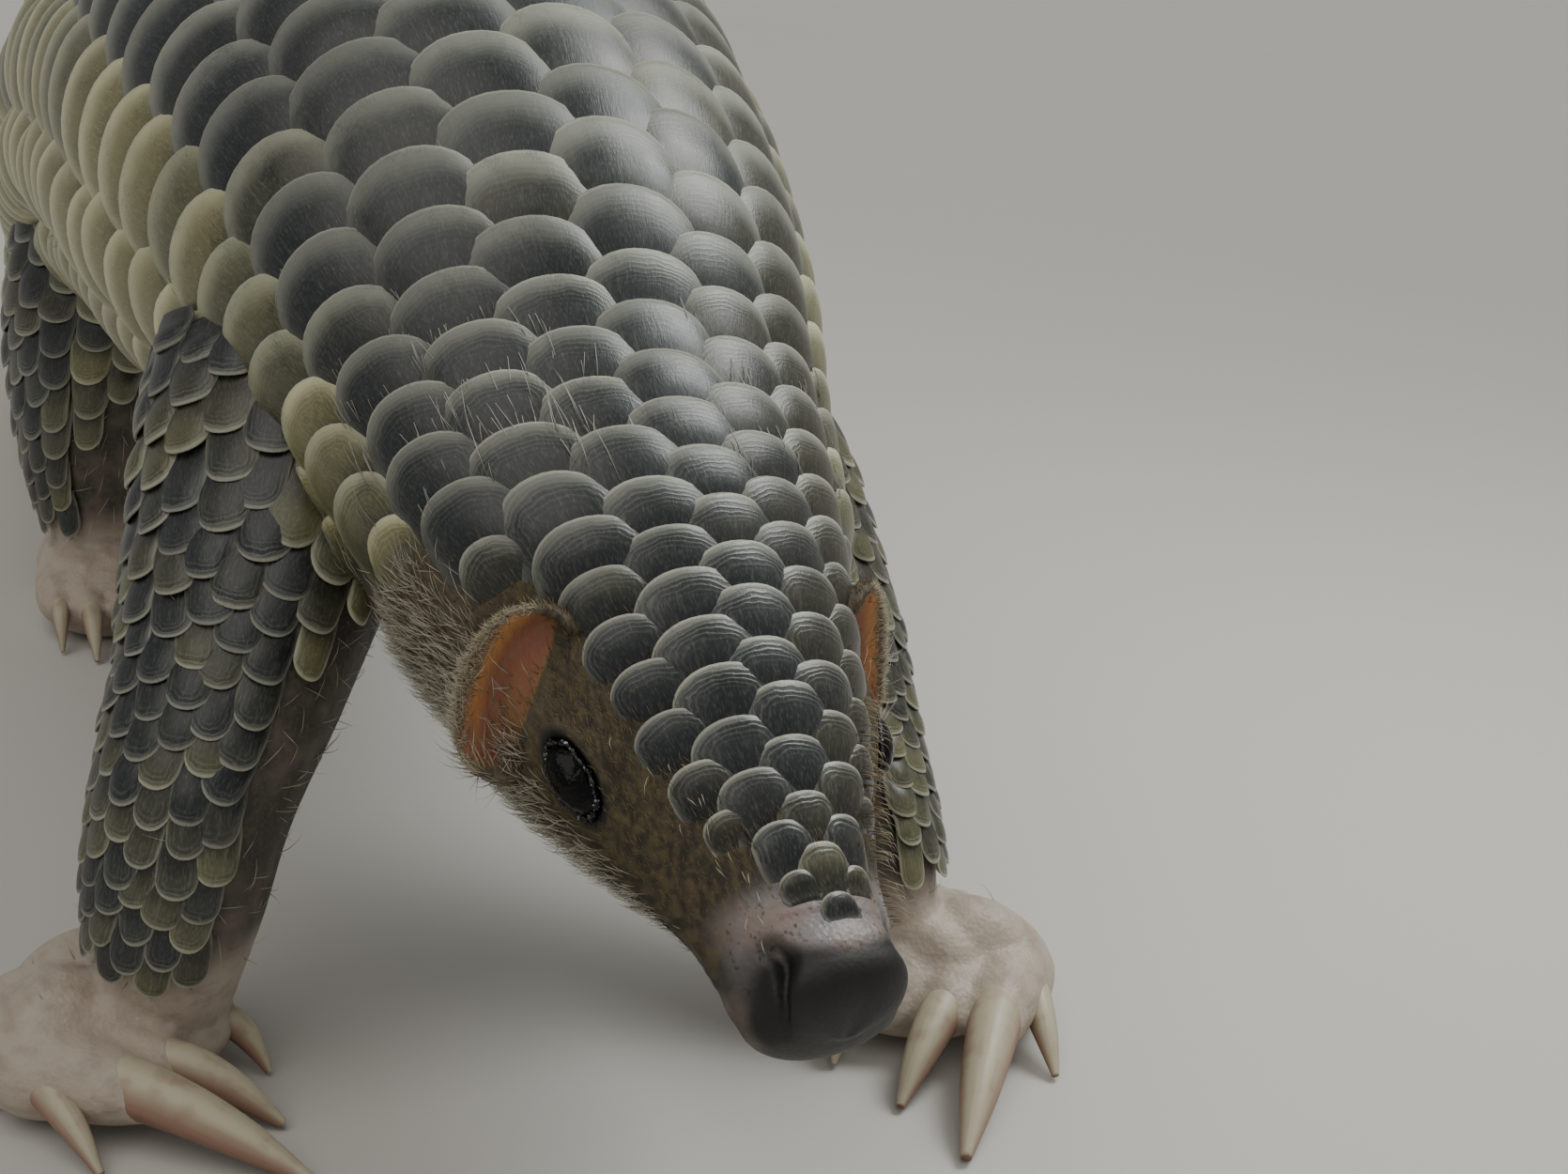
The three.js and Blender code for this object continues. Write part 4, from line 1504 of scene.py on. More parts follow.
    @staticmethod
    def leaf_share(points: Array) -> Array:
        """How surely each point lies on the leaf of an ear.

        Args:
            points: the points.
        Returns:
            A share for each point.
        """
        share = np.zeros(len(points))
        for side in SIDES.values():
            x, y, z = round_ear(points, side)
            near = smoothstep(16 - np.abs(y), 0, 2) * smoothstep(x, 1, 4) * smoothstep(17 - x, 0, 2)
            share = np.maximum(share, near * smoothstep(z, EAR_SINK + 0.8, EAR_SINK + 2.4))
        return share

    @staticmethod
    def lid_share(points: Array) -> Array:
        """How near the rim of the eyes each point lies.

        Args:
            points: the points.
        Returns:
            A share for each point.
        """
        share = np.zeros(len(points))
        for side in SIDES.values():
            flat, above = round_eye(points, side)
            share = np.maximum(share, smoothstep(6.9 - flat, 0, 1.6) * (np.abs(above) < 9))
        return share


FOREFOOT_ROWS = (
    (-19, 8, 11, 8, 8),
    (-12, 10, 17, 13, 11),
    (-2, 11, 20, 13.5, 12),
    (7, 10.5, 20, 8.5, 11),
    (13, 9, 16.5, 5.5, 9),
    (16, 8, 12, 3.5, 7),
)
HINDFOOT_ROWS = (
    (-27, 8, 11, 8, 8),
    (-17, 11, 16, 14, 12),
    (0, 11, 19, 14, 12),
    (12, 9.5, 20.5, 11, 11),
    (20, 8, 19, 8, 9),
    (25, 6.5, 14, 4, 6.5),
)


@dataclass(frozen=True)
class Claw:
    """One claw: where it leaves the foot, its length and thickness, and the angle that it turns inward."""

    across: float
    back: float
    length: float
    thick: float
    inward: float


FORE_CLAWS = (
    Claw(-15, 10, 11, 3.2, 49),
    Claw(2, 2, 28, 4.6, 52),
    Claw(14, 3, 50, 5.6, 41),
    Claw(20, 9, 28, 3.8, 17),
    Claw(20, 22, 12, 2.6, -14),
)
HIND_CLAWS = (
    Claw(-15, 5, 11, 2.6, 4),
    Claw(-8, 1, 16, 3, 2),
    Claw(0, 0, 18, 3.2, 0),
    Claw(8, 1, 16, 3, -3),
    Claw(15, 5, 11, 2.6, -6),
)


@dataclass(frozen=True)
class ClawFinish:
    """Claw horn: cream, pink where it is thin, streaked along its length."""

    cream: Colour = srgb(0xBDB59C)
    pink: Colour = srgb(0x94705F)
    brown: Colour = srgb(0x6B4A35)
    quick: Colour = srgb(0xA08C80)

    def dress(self, piece: Piece) -> None:
        """Gives a claw this finish.

        Args:
            piece: the piece.
        """
        mix = Recipe(piece.name)
        along, round_it = mix.value("along"), mix.value("round")
        streaks = mix.noise(1.0, 4.0, mix.vector(round_it * 7.0, along * 1.4, along * 0.3))
        cloud = mix.noise(240.0, 3.0)
        crown = (round_it + (streaks - 0.5) * 0.25).rise(0.45, 0.85)
        base = mix.mix(crown, self.pink, self.cream)
        base = mix.mix((round_it + (cloud - 0.5) * 0.2).rise(0.25, 0.5, 0.6, 0.0), base, self.brown)
        base = mix.mix((cloud * 0.6 + streaks * 0.4).rise(0.45, 0.7, 0.0, 0.5), base, self.pink)
        base = mix.mix(along.rise(0.0, 0.3, 0.7, 0.0), base, self.quick)
        normal = mix.bump(streaks, 0.35, 0.4 * MILLIMETRE)
        mix.dress(
            piece,
            {"Base Color": base, "Roughness": 0.36 + cloud * 0.16, "Normal": normal, "Subsurface Weight": 0.1,
             "Subsurface Scale": 0.002},
        )


@dataclass(frozen=True)
class Foot:
    """A foot with its claws."""

    name: str
    x: float
    y: float
    turn: float
    side: int
    rows: tuple[tuple[float, ...], ...]
    claws: tuple[Claw, ...]

    def place(self, ahead: float, across: float, height: float) -> Array:
        """A point by the foot: ahead of its centre, across towards the outside, and up.

        Args:
            ahead: how far ahead.
            across: how far across.
            height: how far above the floor.
        Returns:
            The point.
        """
        angle = math.radians(self.turn)
        return np.array([
            self.x + self.side * (across * math.cos(angle) - ahead * math.sin(angle)),
            self.y - ahead * math.cos(angle) - across * math.sin(angle),
            height,
        ])

    def flesh(self) -> list[Form]:
        """The foot with its toes and heel pad, as closed forms.

        Returns:
            The forms.
        """
        rows = [[*self.place(ahead, 0, height), *sizes] for ahead, height, *sizes in self.rows]
        skin = Skin(rows)
        s, phi = round_grid(np.linspace(0, skin.length, 30), 48)
        forms = [tube(skin.point(s, phi, -0.4))]
        for claw in self.claws:
            points, radii = self.claw_line(claw)
            ahead = self.rows[-1][0] - claw.back
            sheath = [
                self.place(ahead * 0.2 - 4.0, claw.across * 0.45, 14.0),
                self.place(ahead * 0.6 - 3.0, claw.across * 0.74, 16.0),
                points[0] + np.array([0.0, 0.0, 2.2]),
                points[1],
                points[1] * 0.5 + points[2] * 0.5,
                points[2] * 1.06 - points[1] * 0.06,
            ]
            swell = [1.2, 1.5, 1.55, 1.36, 1.16, 0.72]
            forms.append(bar(sheath, [radii[1] * share for share in swell], 26, 24))
        return forms

    def claw_line(self, claw: Claw) -> tuple[list[Array], list[float]]:
        """Points and radii along a claw, which arches forward and comes down to just above the floor.

        Args:
            claw: the claw.
        Returns:
            The points, with a radius for each.
        """
        ahead = self.rows[-1][0] - claw.back
        reaches = [-5 / claw.length, 0.1, 0.4, 0.72, 1]
        heights = [8, 10, 9.5, 6, 1]
        radii = [share * claw.thick for share in (0.9, 1, 0.94, 0.68, 0.2)]
        angle = math.radians(claw.inward)
        points = []
        for reach, height, radius in zip(reaches, heights, radii):
            forward = reach * claw.length * math.cos(angle)
            sideways = reach * claw.length * math.sin(angle)
            points.append(self.place(ahead + forward, claw.across - sideways, max(height, radius + 0.3)))
        return points, radii

    def build_claws(self, finish: ClawFinish) -> list[Piece]:
        """Makes the claws.

        Args:
            finish: what they are dressed in.
        Returns:
            The pieces.
        """
        pieces = []
        for number, claw in enumerate(self.claws, start=1):
            points, radii = self.claw_line(claw)
            rows = [[*p, r * 0.92, r * 1.05, r * 0.8] for p, r in zip(points, radii)]
            skin = Skin(rows)
            s, phi = round_grid(skin.length * (1 - (1 - np.linspace(0, 1, 36)) ** 1.4), 28)
            form = tube(skin.point(s, phi))
            ends = np.array([0.0, 1.0])
            form.values["along"] = np.concatenate([(s / skin.length).ravel(), ends])
            form.values["round"] = np.concatenate([np.abs(phi - math.pi).ravel() / math.pi, ends * 0])
            form.points[:, 2] = np.maximum(form.points[:, 2], FLOOR_GAP)
            piece = form.object(f"claw_{self.name}_{number}")
            finish.dress(piece)
            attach(piece, "root")
            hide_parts(f"{self.name}_claw_{number}")
            pieces.append(piece)
        return pieces


FEET = (
    Foot("forefoot_right", -81, 113, 0, -1, FOREFOOT_ROWS, FORE_CLAWS),
    Foot("forefoot_left", 60, 74, 0, 1, FOREFOOT_ROWS, FORE_CLAWS),
    Foot("hindfoot_right", MIDLINE - HINDFOOT_OUT, HINDFEET_Y["right"], -6, -1, HINDFOOT_ROWS, HIND_CLAWS),
    Foot("hindfoot_left", MIDLINE + HINDFOOT_OUT, HINDFEET_Y["left"], -8, 1, HINDFOOT_ROWS, HIND_CLAWS),
)

BODY_NODES = (
    "neck", "torso_front", "torso_middle", "torso_rear", "tail_base", "tail_middle", "tail_end",
    "foreleg_right", "foreleg_left", "hindleg_right", "hindleg_left",
    "forefoot_right", "forefoot_left", "hindfoot_right", "hindfoot_left",
)


@dataclass
class Trunk:
    """The skin of neck, body, tail, legs and feet."""

    start: float = 84.0
    tail_at: float = 450.0
    scale_depth: float = 2.6
    voxel: float = 1.15
    kept: float = 0.30
    finish: FleshFinish = FleshFinish()

    def build(self) -> Piece:
        """Makes the skin.

        Returns:
            The piece.
        """
        s, phi = round_grid(np.linspace(self.start, SPINE.length, 300), 120, -math.pi)
        covered = np.where(s > self.tail_at, 1.0, scaled_share(s, phi))
        depth = 0.4 + self.scale_depth * covered * np.clip(SPINE.radius(s) / 45, 0.35, 1.0)
        forms = [tube(SPINE.point(s, phi, -depth))]
        for skin in LEGS.values():
            s, phi = round_grid(np.linspace(0, skin.length, 60), 64, -math.pi)
            under = 0.5 + 1.3 * smoothstep(118 - np.degrees(np.abs(phi)), -8, 8)
            forms.append(tube(skin.point(s, phi, -under)))
        for foot in FEET:
            forms.extend(foot.flesh())
        piece = remeshed(Form.joined(forms), self.voxel, "skin_body", self.kept)
        points = points_of(piece)
        points[:, 2] = np.maximum(points[:, 2], FLOOR_GAP)
        set_points(piece, points)
        near_foot = np.zeros(len(points))
        for foot in FEET:
            away = np.hypot(points[:, 0] - foot.x, points[:, 1] - foot.y)
            near_foot = np.maximum(near_foot, smoothstep(46 - away, 0, 10) * smoothstep(34 - points[:, 2], 0, 12))
        for name in ("pad", "ear", "ear_root", "furrow", "lid"):
            set_value(piece, name, np.zeros(len(points)))
        set_value(piece, "pink", near_foot * 0.8)
        set_value(piece, "palm", near_foot)
        set_value(piece, "fur", np.full(len(points), 0.35) * (1 - near_foot))
        set_value(piece, "low", np.full(len(points), 0.6))
        self.finish.dress(piece)
        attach(piece, "root")
        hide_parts(*BODY_NODES)
        return piece


@dataclass(frozen=True)
class EyeFinish:
    """Wet black eyes and the beads of moisture on their lids, with painted highlights on the beads."""

    ball: tuple[Colour, Colour] = (srgb(0x030304), srgb(0x0B0908))
    lid: tuple[Colour, Colour] = (srgb(0x060506), srgb(0x120F0E))
    # painted highlights on the wet beads of the lids
    sparkle: Colour = srgb(0xB9C1C8)

    def dress_ball(self, piece: Piece) -> None:
        """Gives an eye this finish.

        Args:
            piece: the eye.
        """
        mix = Recipe(piece.name)
        base = mix.mix(mix.noise(400.0, 2.0).rise(0.3, 0.8), *self.ball)
        normal = mix.bump(mix.noise(480.0, 3.0), 0.8, 0.7 * MILLIMETRE)
        mix.dress(piece, {"Base Color": base, "Roughness": 0.1, "Normal": normal, "Specular IOR Level": 0.2})

    def dress_lid(self, piece: Piece) -> None:
        """Gives the edge of the lids this finish.

        Args:
            piece: the lids.
        """
        mix = Recipe(piece.name)
        cloud = mix.noise(500.0, 2.0)
        base = mix.mix(cloud.rise(0.3, 0.7), *self.lid)
        # painted highlights: bright specks on the beads
        painted_sparkle = (mix.cells(1500.0) * 0.5 + cloud * 0.5).rise(0.26, 0.36, 0.9, 0.0)
        base = mix.mix(painted_sparkle, base, self.sparkle)
        normal = mix.bump(mix.cells(1600.0), 0.6, 0.3 * MILLIMETRE)
        mix.dress(piece, {"Base Color": base, "Roughness": 0.10 + cloud * 0.10, "Normal": normal})


@dataclass
class Eyes:
    """Two glossy dark eyes."""

    beads: int = 34
    lid_long: float = 6.5
    lid_short: float = 3.6
    finish: EyeFinish = EyeFinish()

    def lids(self, name: str, side: int) -> Piece:
        """The wet, beaded edge of the lids round one eye.

        Args:
            name: right or left.
            side: -1 for the right eye, 1 for the left.
        Returns:
            The piece.
        """
        here, long_axis, short_axis, out = eye_axes(side)
        turn, round_it = round_grid(np.linspace(0, 2 * math.pi, 240, endpoint=False), 14)
        bead = 0.50 + 0.22 * np.sin(turn * self.beads / 2) * np.sin(turn * 7.0) + 0.12 * np.sin(turn * 23 + 1)
        bead = bead * (0.72 + 0.42 * np.cos(turn) ** 2)
        width, height = self.lid_long + 0.3 * np.sin(turn * 5), self.lid_short + 0.25 * np.sin(turn * 7 + 1)
        ring = long_axis * (np.cos(turn) * width)[..., None] + short_axis * (np.sin(turn) * height)[..., None]
        away = unit(ring)
        lift = 1.35 - 0.5 * np.cos(turn) ** 2
        points = here + ring + out * lift[..., None]
        points = points + away * (np.cos(round_it) * bead)[..., None] + out * (np.sin(round_it) * bead)[..., None]
        rings, sides = turn.shape
        closed = np.concatenate([points, points[:1]]).reshape(-1, 3)
        form = Form(closed, [grid_faces(rings + 1, sides, True)])
        form.faces = [form.faces[0] % (rings * sides)]
        form.points = form.points[: rings * sides]
        piece = form.object(f"lids_{name}")
        self.finish.dress_lid(piece)
        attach(piece, "root")
        return piece

    def build(self) -> list[Piece]:
        """Makes the eyes and the edges of their lids.

        Returns:
            The pieces.
        """
        pieces = [self.lids(name, side) for name, side in SIDES.items()]
        for name, side in SIDES.items():
            here, long_axis, short_axis, out = eye_axes(side)
            centre = here - out * EYE_SINK
            halves = (EYE_RADIUS * 1.28, EYE_RADIUS * 0.75, EYE_RADIUS)
            form = ball(centre, (long_axis, short_axis, out), halves, rings=32, sides=48)
            piece = form.object(f"eyeball_{name}")
            self.finish.dress_ball(piece)
            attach(piece, "root")
            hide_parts(f"eye_{name}")
            pieces.append(piece)
        return pieces


# Hair


def on_spine(points: Array) -> tuple[Array, Array]:
    """Distance along the spine and angle from its top of points anywhere on the body.

    Args:
        points: the points.
    Returns:
        The distance and the angle of each.
    """
    stations = np.linspace(0, SPINE.length, 500)
    line = SPINE.line.read(stations)[:, :3]
    s = np.empty(len(points))
    for start in range(0, len(points), 4000):
        block = points[start:start + 4000]
        s[start:start + 4000] = stations[((block[:, None] - line) ** 2).sum(-1).argmin(1)]
    _, side, up = SPINE.axes(s)
    offset = points - SPINE.line.read(s)[:, :3]
    return s, np.arctan2((offset * side).sum(1), (offset * up).sum(1))


@dataclass
class Hairs:
    """Hairs to be made, one row of each for every hair."""

    root: Array
    lie: Array
    out: Array
    length: Array
    radius: Array
    rise: Array
    droop: Array
    tone: Array
    place: Array

    def only(self, keep: Array) -> "Hairs":
        """The hairs that a mask keeps."""
        return Hairs(**{name: value[keep] for name, value in vars(self).items()})

    def form(self) -> Form:
        """Tapered hairs of three sides, closed at root and tip.

        Returns:
            The form, with each point's share of the hair's length and the hair's tone.
        """
        count = len(self.root)
        shares = np.array([0.0, 0.3, 0.65, 1.0])
        centres, axes = [self.root], []
        for low, high in zip(shares, shares[1:]):
            middle = (low + high) / 2
            steep = (self.rise * (1 - middle) - self.droop * middle)[:, None]
            step = unit(self.lie + self.out * steep)
            axes.append(step)
            centres.append(centres[-1] + step * (self.length * (high - low))[:, None])
        axes = np.stack([axes[0], (axes[0] + axes[1]) / 2, (axes[1] + axes[2]) / 2], 1)
        aside = unit(np.cross(self.lie, self.out))[:, None]
        third = unit(np.cross(axes, aside))
        turns = np.radians([90.0, 210.0, 330.0])
        taper = np.array([1.0, 0.9, 0.6])[None, :, None, None] * self.radius[:, None, None, None]
        cosines, sines = np.cos(turns)[None, None, :, None], np.sin(turns)[None, None, :, None]
        ring = aside[:, :, None] * cosines + third[:, :, None] * sines
        body = np.stack(centres[:3], 1)[:, :, None] + ring * taper
        points = np.concatenate([body.reshape(count, 9, 3), centres[3][:, None]], axis=1)
        quads = grid_faces(3, 3, True)
        ends = np.array([[2, 1, 0], [6, 7, 9], [7, 8, 9], [8, 6, 9]])
        offsets = (np.arange(count) * 10)[:, None, None]
        faces = [(quads + offsets).reshape(-1, 4), (ends + offsets).reshape(-1, 3)]
        along = np.array([0.0, 0.0, 0.0, 0.3, 0.3, 0.3, 0.65, 0.65, 0.65, 1.0])
        sideways = np.array([-1, 0, 1] * 3 + [0]) * 0.5
        patch = np.stack([sideways, along - 0.5], -1) * 0.003
        values = {"tip": np.tile(along, count), "tone": np.repeat(self.tone, 10)}
        uv = (self.place[:, None] + patch).reshape(-1, 2)
        return Form(points.reshape(-1, 3), faces, values, uv)


@dataclass(frozen=True)
class HairFinish:
    """Hair that pales from root to tip."""

    root: Colour
    tip: Colour
    tip_other: Colour
    rough: float = 0.5

    def dress(self, piece: Piece) -> None:
        """Gives hairs this finish.

        Args:
            piece: the piece.
        """
        mix = Recipe(piece.name)
        tip, tone = mix.value("tip"), mix.value("tone")
        cloud = mix.noise(300.0, 2.0)
        end = mix.mix((tone + (cloud - 0.5) * 0.4).rise(0.2, 0.8), self.tip, self.tip_other)
        base = mix.mix(tip.rise(0.0, 0.7), self.root, end)
        mix.dress(piece, {"Base Color": base, "Roughness": self.rough, "Specular IOR Level": 0.35})


@dataclass(frozen=True)
class HairPatch:
    """Hairs of one kind: where they grow, as a chance for every place, and their sizes."""

    name: str
    count: int
    chance: Callable[[Array, Array, Array, Array], Array]
    length: tuple[float, float]
    radius: float
    rise: tuple[float, float]
    droop: float
    finish: HairFinish
    slot: Slot
    scatter: float = 0.25


BROWN_HAIR = HairFinish(srgb(0x241D14), srgb(0x64543A), srgb(0x8C7A54))
PALE_HAIR = HairFinish(srgb(0x82786A), srgb(0xB8B09D), srgb(0xD4CEBE))
CREAM_HAIR = HairFinish(srgb(0x8A785E), srgb(0xB9AA8C), srgb(0xCFC7B4))
LONG_HAIR = HairFinish(srgb(0x86837A), srgb(0xADABA2), srgb(0xC9C8C1), 0.4)


def shield_reach(s: Array) -> Array:
    """The angle at which the scales end on either side."""
    at = [14, 17, 21, 27, 34, 70, 84, 92, 104, 130, 170]
    return np.interp(s, at, [-9, 8, 26, 42, 52, 58, 68, 84, 104, 120, 134])


def face_chance(s: Array, degrees: Array, ear: Array, z: Array) -> Array:
    """Where short brown hair grows: on cheeks and snout outside the scales."""
    open_skin = smoothstep(degrees - shield_reach(s), -7, 0)
    return open_skin * smoothstep(s, 15, 24) * smoothstep(112 - degrees, 0, 24) * smoothstep(96 - s, 0, 8) * (1 - ear)


def jaw_chance(s: Array, degrees: Array, ear: Array, z: Array) -> Array:
    """Where pale fuzz grows: under cheek and jaw."""
    return smoothstep(degrees + 18 * smoothstep(s, 46, 70), 88, 112) * smoothstep(s, 20, 40) * (1 - ear)


@dataclass(frozen=True)
class HairRow:
    """Hairs of one kind that come up between scales, on both sides of the spine."""

    name: str
    count: int
    stretch: tuple[float, float]
    turned: tuple[float, float]
    length: tuple[float, float]
    radius: float
    rise: tuple[float, float]
    droop: float
    finish: HairFinish
    bunch: int = 1
    nosewards: bool = False
    right_share: float = 1.0


@dataclass
class Fur:
    """All the hair: on face, jaw, ears, among the scales and under the body."""

    patches: tuple[HairPatch, ...] = (
        HairPatch("face", 12000, face_chance, (1.4, 3.0), 0.07, (0.2, 0.6), 0.25, BROWN_HAIR, Slot.NOSE, 0.3),
        HairPatch("jaw", 12000, jaw_chance, (3.6, 7.2), 0.085, (0.6, 1.4), 0.0, PALE_HAIR, Slot.NOSE, 0.4),
    )
    rows: tuple[HairRow, ...] = (
        HairRow("head_scales", 1100, (24, 94), (0, 50), (2.6, 5.0), 0.05, (0.45, 0.8), 0.4, BROWN_HAIR),
        HairRow(
            "bristles", 230, (13, 52), (38, 72), (4.0, 6.4), 0.085, (1.3, 2.2), 0.3, CREAM_HAIR,
            nosewards=True, right_share=0.16,
        ),
        HairRow("neck", 620, (88, 190), (6, 114), (9.0, 17.0), 0.085, (0.3, 0.5), 0.35, LONG_HAIR, bunch=3),
        HairRow("back", 270, (190, 430), (0, 128), (8.0, 16.0), 0.085, (0.3, 0.5), 0.4, LONG_HAIR, bunch=3),
    )
    ear_hairs: int = 6400

    def build(self, skins: Sequence[Piece], random: Draws) -> list[Piece]:
        """Makes the pieces.

        Args:
            skins: the skin of the head and the skin of the rest.
            random: draws that scatter the hairs.
        Returns:
            One piece for each kind of hair.
        """
        head, trunk = skins
        pieces = [self._on_skin(patch, head, random) for patch in self.patches]
        pieces.append(self._ears(head, random))
        pieces.append(self._belly(trunk, random))
        pieces.extend(self._from_spine(row, random) for row in self.rows)
        return pieces

    def _finish(self, name: str, hairs: Hairs, finish: HairFinish) -> Piece:
        """Hairs as a dressed piece.

        Args:
            name: the piece's name.
            hairs: the hairs.
            finish: their finish.
        Returns:
            The piece.
        """
        form = hairs.form()
        form.points[:, 2] = np.maximum(form.points[:, 2], FLOOR_GAP)
        piece = form.object(f"hair_{name}")
        finish.dress(piece)
        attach(piece, "root")
        return piece

    @staticmethod
    def _drawn(skin: Piece, count: int, random: Draws) -> tuple[Array, Array, Array]:
        """Places spread evenly over a skin.

        Args:
            skin: the piece.
            count: how many are wanted.
            random: the draws.
        Returns:
            Points, directions out, and the value "ear" there.
        """
        mesh = skin.data
        mesh.calc_loop_triangles()
        corners = np.zeros(len(mesh.loop_triangles) * 3, np.int32)
        mesh.loop_triangles.foreach_get("vertices", corners)
        corners = corners.reshape(-1, 3)
        points, normals = points_of(skin), normals_of(skin)
        ear = np.zeros(len(points), np.float32)
        mesh.attributes["ear"].data.foreach_get("value", ear)
        a, b, c = (points[corners[:, k]] for k in range(3))
        area = np.linalg.norm(np.cross(b - a, c - a), axis=1)
        chosen = random.choice(len(corners), count, p=area / area.sum())
        u, v = random.uniform(0, 1, (2, count))
        flip = u + v > 1
        u, v = np.where(flip, 1 - u, u), np.where(flip, 1 - v, v)
        weights = np.stack([1 - u - v, u, v], -1)[..., None]
        picked = corners[chosen]
        return (points[picked] * weights).sum(1), unit((normals[picked] * weights).sum(1)), ear[picked].mean(1)

    @staticmethod
    def _lying(out: Array, lie: Array, scatter: float, random: Draws) -> Array:
        """Directions along the skin, near the lie of the coat.

        Args:
            out: directions out of the skin.
            lie: the lie of the coat.
            scatter: how much they stray from it.
            random: the draws.
        Returns:
            A direction for each hair.
        """
        noise = random.normal(0, scatter, lie.shape)
        lie = lie + noise
        return unit(lie - out * (lie * out).sum(1, keepdims=True))

    @staticmethod
    def _hairs(
        roots: Array,
        lies: Array,
        outs: Array,
        length: Array,
        sizes: tuple[float, tuple[float, float], float],
        where: tuple[Array, Array],
        random: Draws,
    ) -> Hairs:
        """Hairs of one thickness and droop.

        Args:
            roots: where they grow.
            lies: the directions that they lie in.
            outs: directions out of the skin.
            length: their lengths.
            sizes: their radius, how steeply they leave the skin, least and most, and how much they bend back to it.
            where: their distances along the spine and angles from its top, which place them in the coat's map.
            random: the draws.
        Returns:
            The hairs.
        """
        radius, rise, droop = sizes
        s, phi = where
        count = len(roots)
        return Hairs(
            root=roots,
            lie=lies,
            out=outs,
            length=length,
            radius=np.full(count, radius),
            rise=random.uniform(*rise, count),
            droop=np.full(count, droop),
            tone=random.uniform(0, 1, count),
            place=np.stack([phi / (2 * math.pi) + 0.5, s / SPINE.length], -1),
        )

    def _on_skin(self, patch: HairPatch, skin: Piece, random: Draws) -> Piece:
        """One kind of hair on the head's skin.

        Args:
            patch: the kind.
            skin: the skin of the head.
            random: the draws.
        Returns:
            The piece.
        """
        roots, outs, ears = self._drawn(skin, patch.count * 8, random)
        s, phi = Head.places(roots)
        keep = random.uniform(0, 1, len(roots)) < patch.chance(s, np.degrees(np.abs(phi)), ears, roots[:, 2])
        keep &= Head.lid_share(roots) < 0.25
        keep &= np.cumsum(keep) <= patch.count
        roots, outs, s, phi = roots[keep], outs[keep], s[keep], phi[keep]
        lies = self._lying(outs, SPINE.axes(s)[0], patch.scatter, random)
        length = random.uniform(*patch.length, len(s)) * (0.55 + 0.45 * smoothstep(s, 20, 50))
        sizes = (patch.radius, patch.rise, patch.droop)
        hairs = self._hairs(roots - outs * 0.25, lies, outs, length, sizes, (s, phi), random)
        return self._finish(patch.name, hairs, patch.finish)

    def _ears(self, skin: Piece, random: Draws) -> Piece:
        """Fuzz on the rim and back of the ears.

        Args:
            skin: the skin of the head.
            random: the draws.
        Returns:
            The piece.
        """
        roots, outs, inside = self._drawn(skin, 360000, random)
        kept, lies, tall = np.zeros(len(roots), bool), np.zeros_like(roots), np.zeros(len(roots))
        for side in SIDES.values():
            _, _, backward, out = Head.ear_axes(side)
            x, y, z = round_ear(roots, side)
            z = z - EAR_SINK
            near = (np.abs(y) < 15) & (x > -9) & (x < 16) & (z > 0.5 + np.maximum(0, 4 - x) * 0.15)
            near &= ((z > 2.0) | (x > 8))
            near &= random.uniform(0, 1, len(roots)) > inside * smoothstep(6.6 - z, 0, 2.5) * 0.93
            tall[near] = z[near]
            kept |= near
            lies[near] = out * 0.9 + backward * 0.5
        kept &= np.cumsum(kept) <= self.ear_hairs
        roots, outs, tall = roots[kept], outs[kept], tall[kept]
        lies = self._lying(outs, lies[kept], 0.3, random)
        length = random.uniform(1.2, 2.4, len(roots)) + 1.6 * smoothstep(tall, 2.5, 6.0)
        sizes = (0.07, (0.3, 0.9), 0.1)
        hairs = self._hairs(roots - outs * 0.2, lies, outs, length, sizes, Head.places(roots), random)
        return self._finish("ears", hairs, CREAM_HAIR)

    def _belly(self, skin: Piece, random: Draws) -> Piece:
        """Sparse pale hair on throat, belly and the insides of the legs.

        Args:
            skin: the skin of the body.
            random: the draws.
        Returns:
            The piece.
        """
        roots, outs, _ = self._drawn(skin, 15000, random)
        s, phi = on_spine(roots)
        bare = smoothstep(np.degrees(np.abs(phi)) - shield_reach(s), -6, 6) * (s < 440)
        feet = smoothstep(roots[:, 2], 18, 34)
        keep = random.uniform(0, 1, len(roots)) < bare * feet * 0.8
        roots, outs, s, phi = roots[keep], outs[keep], s[keep], phi[keep]
        lies = self._lying(outs, SPINE.axes(s)[0] + np.array([0, 0, -0.5]), 0.35, random)
        length = random.uniform(3.5, 9.0, len(s))
        sizes = (0.085, (0.3, 0.8), 0.2)
        hairs = self._hairs(roots - outs * 0.3, lies, outs, length, sizes, (s, phi), random)
        return self._finish("belly", hairs, PALE_HAIR)

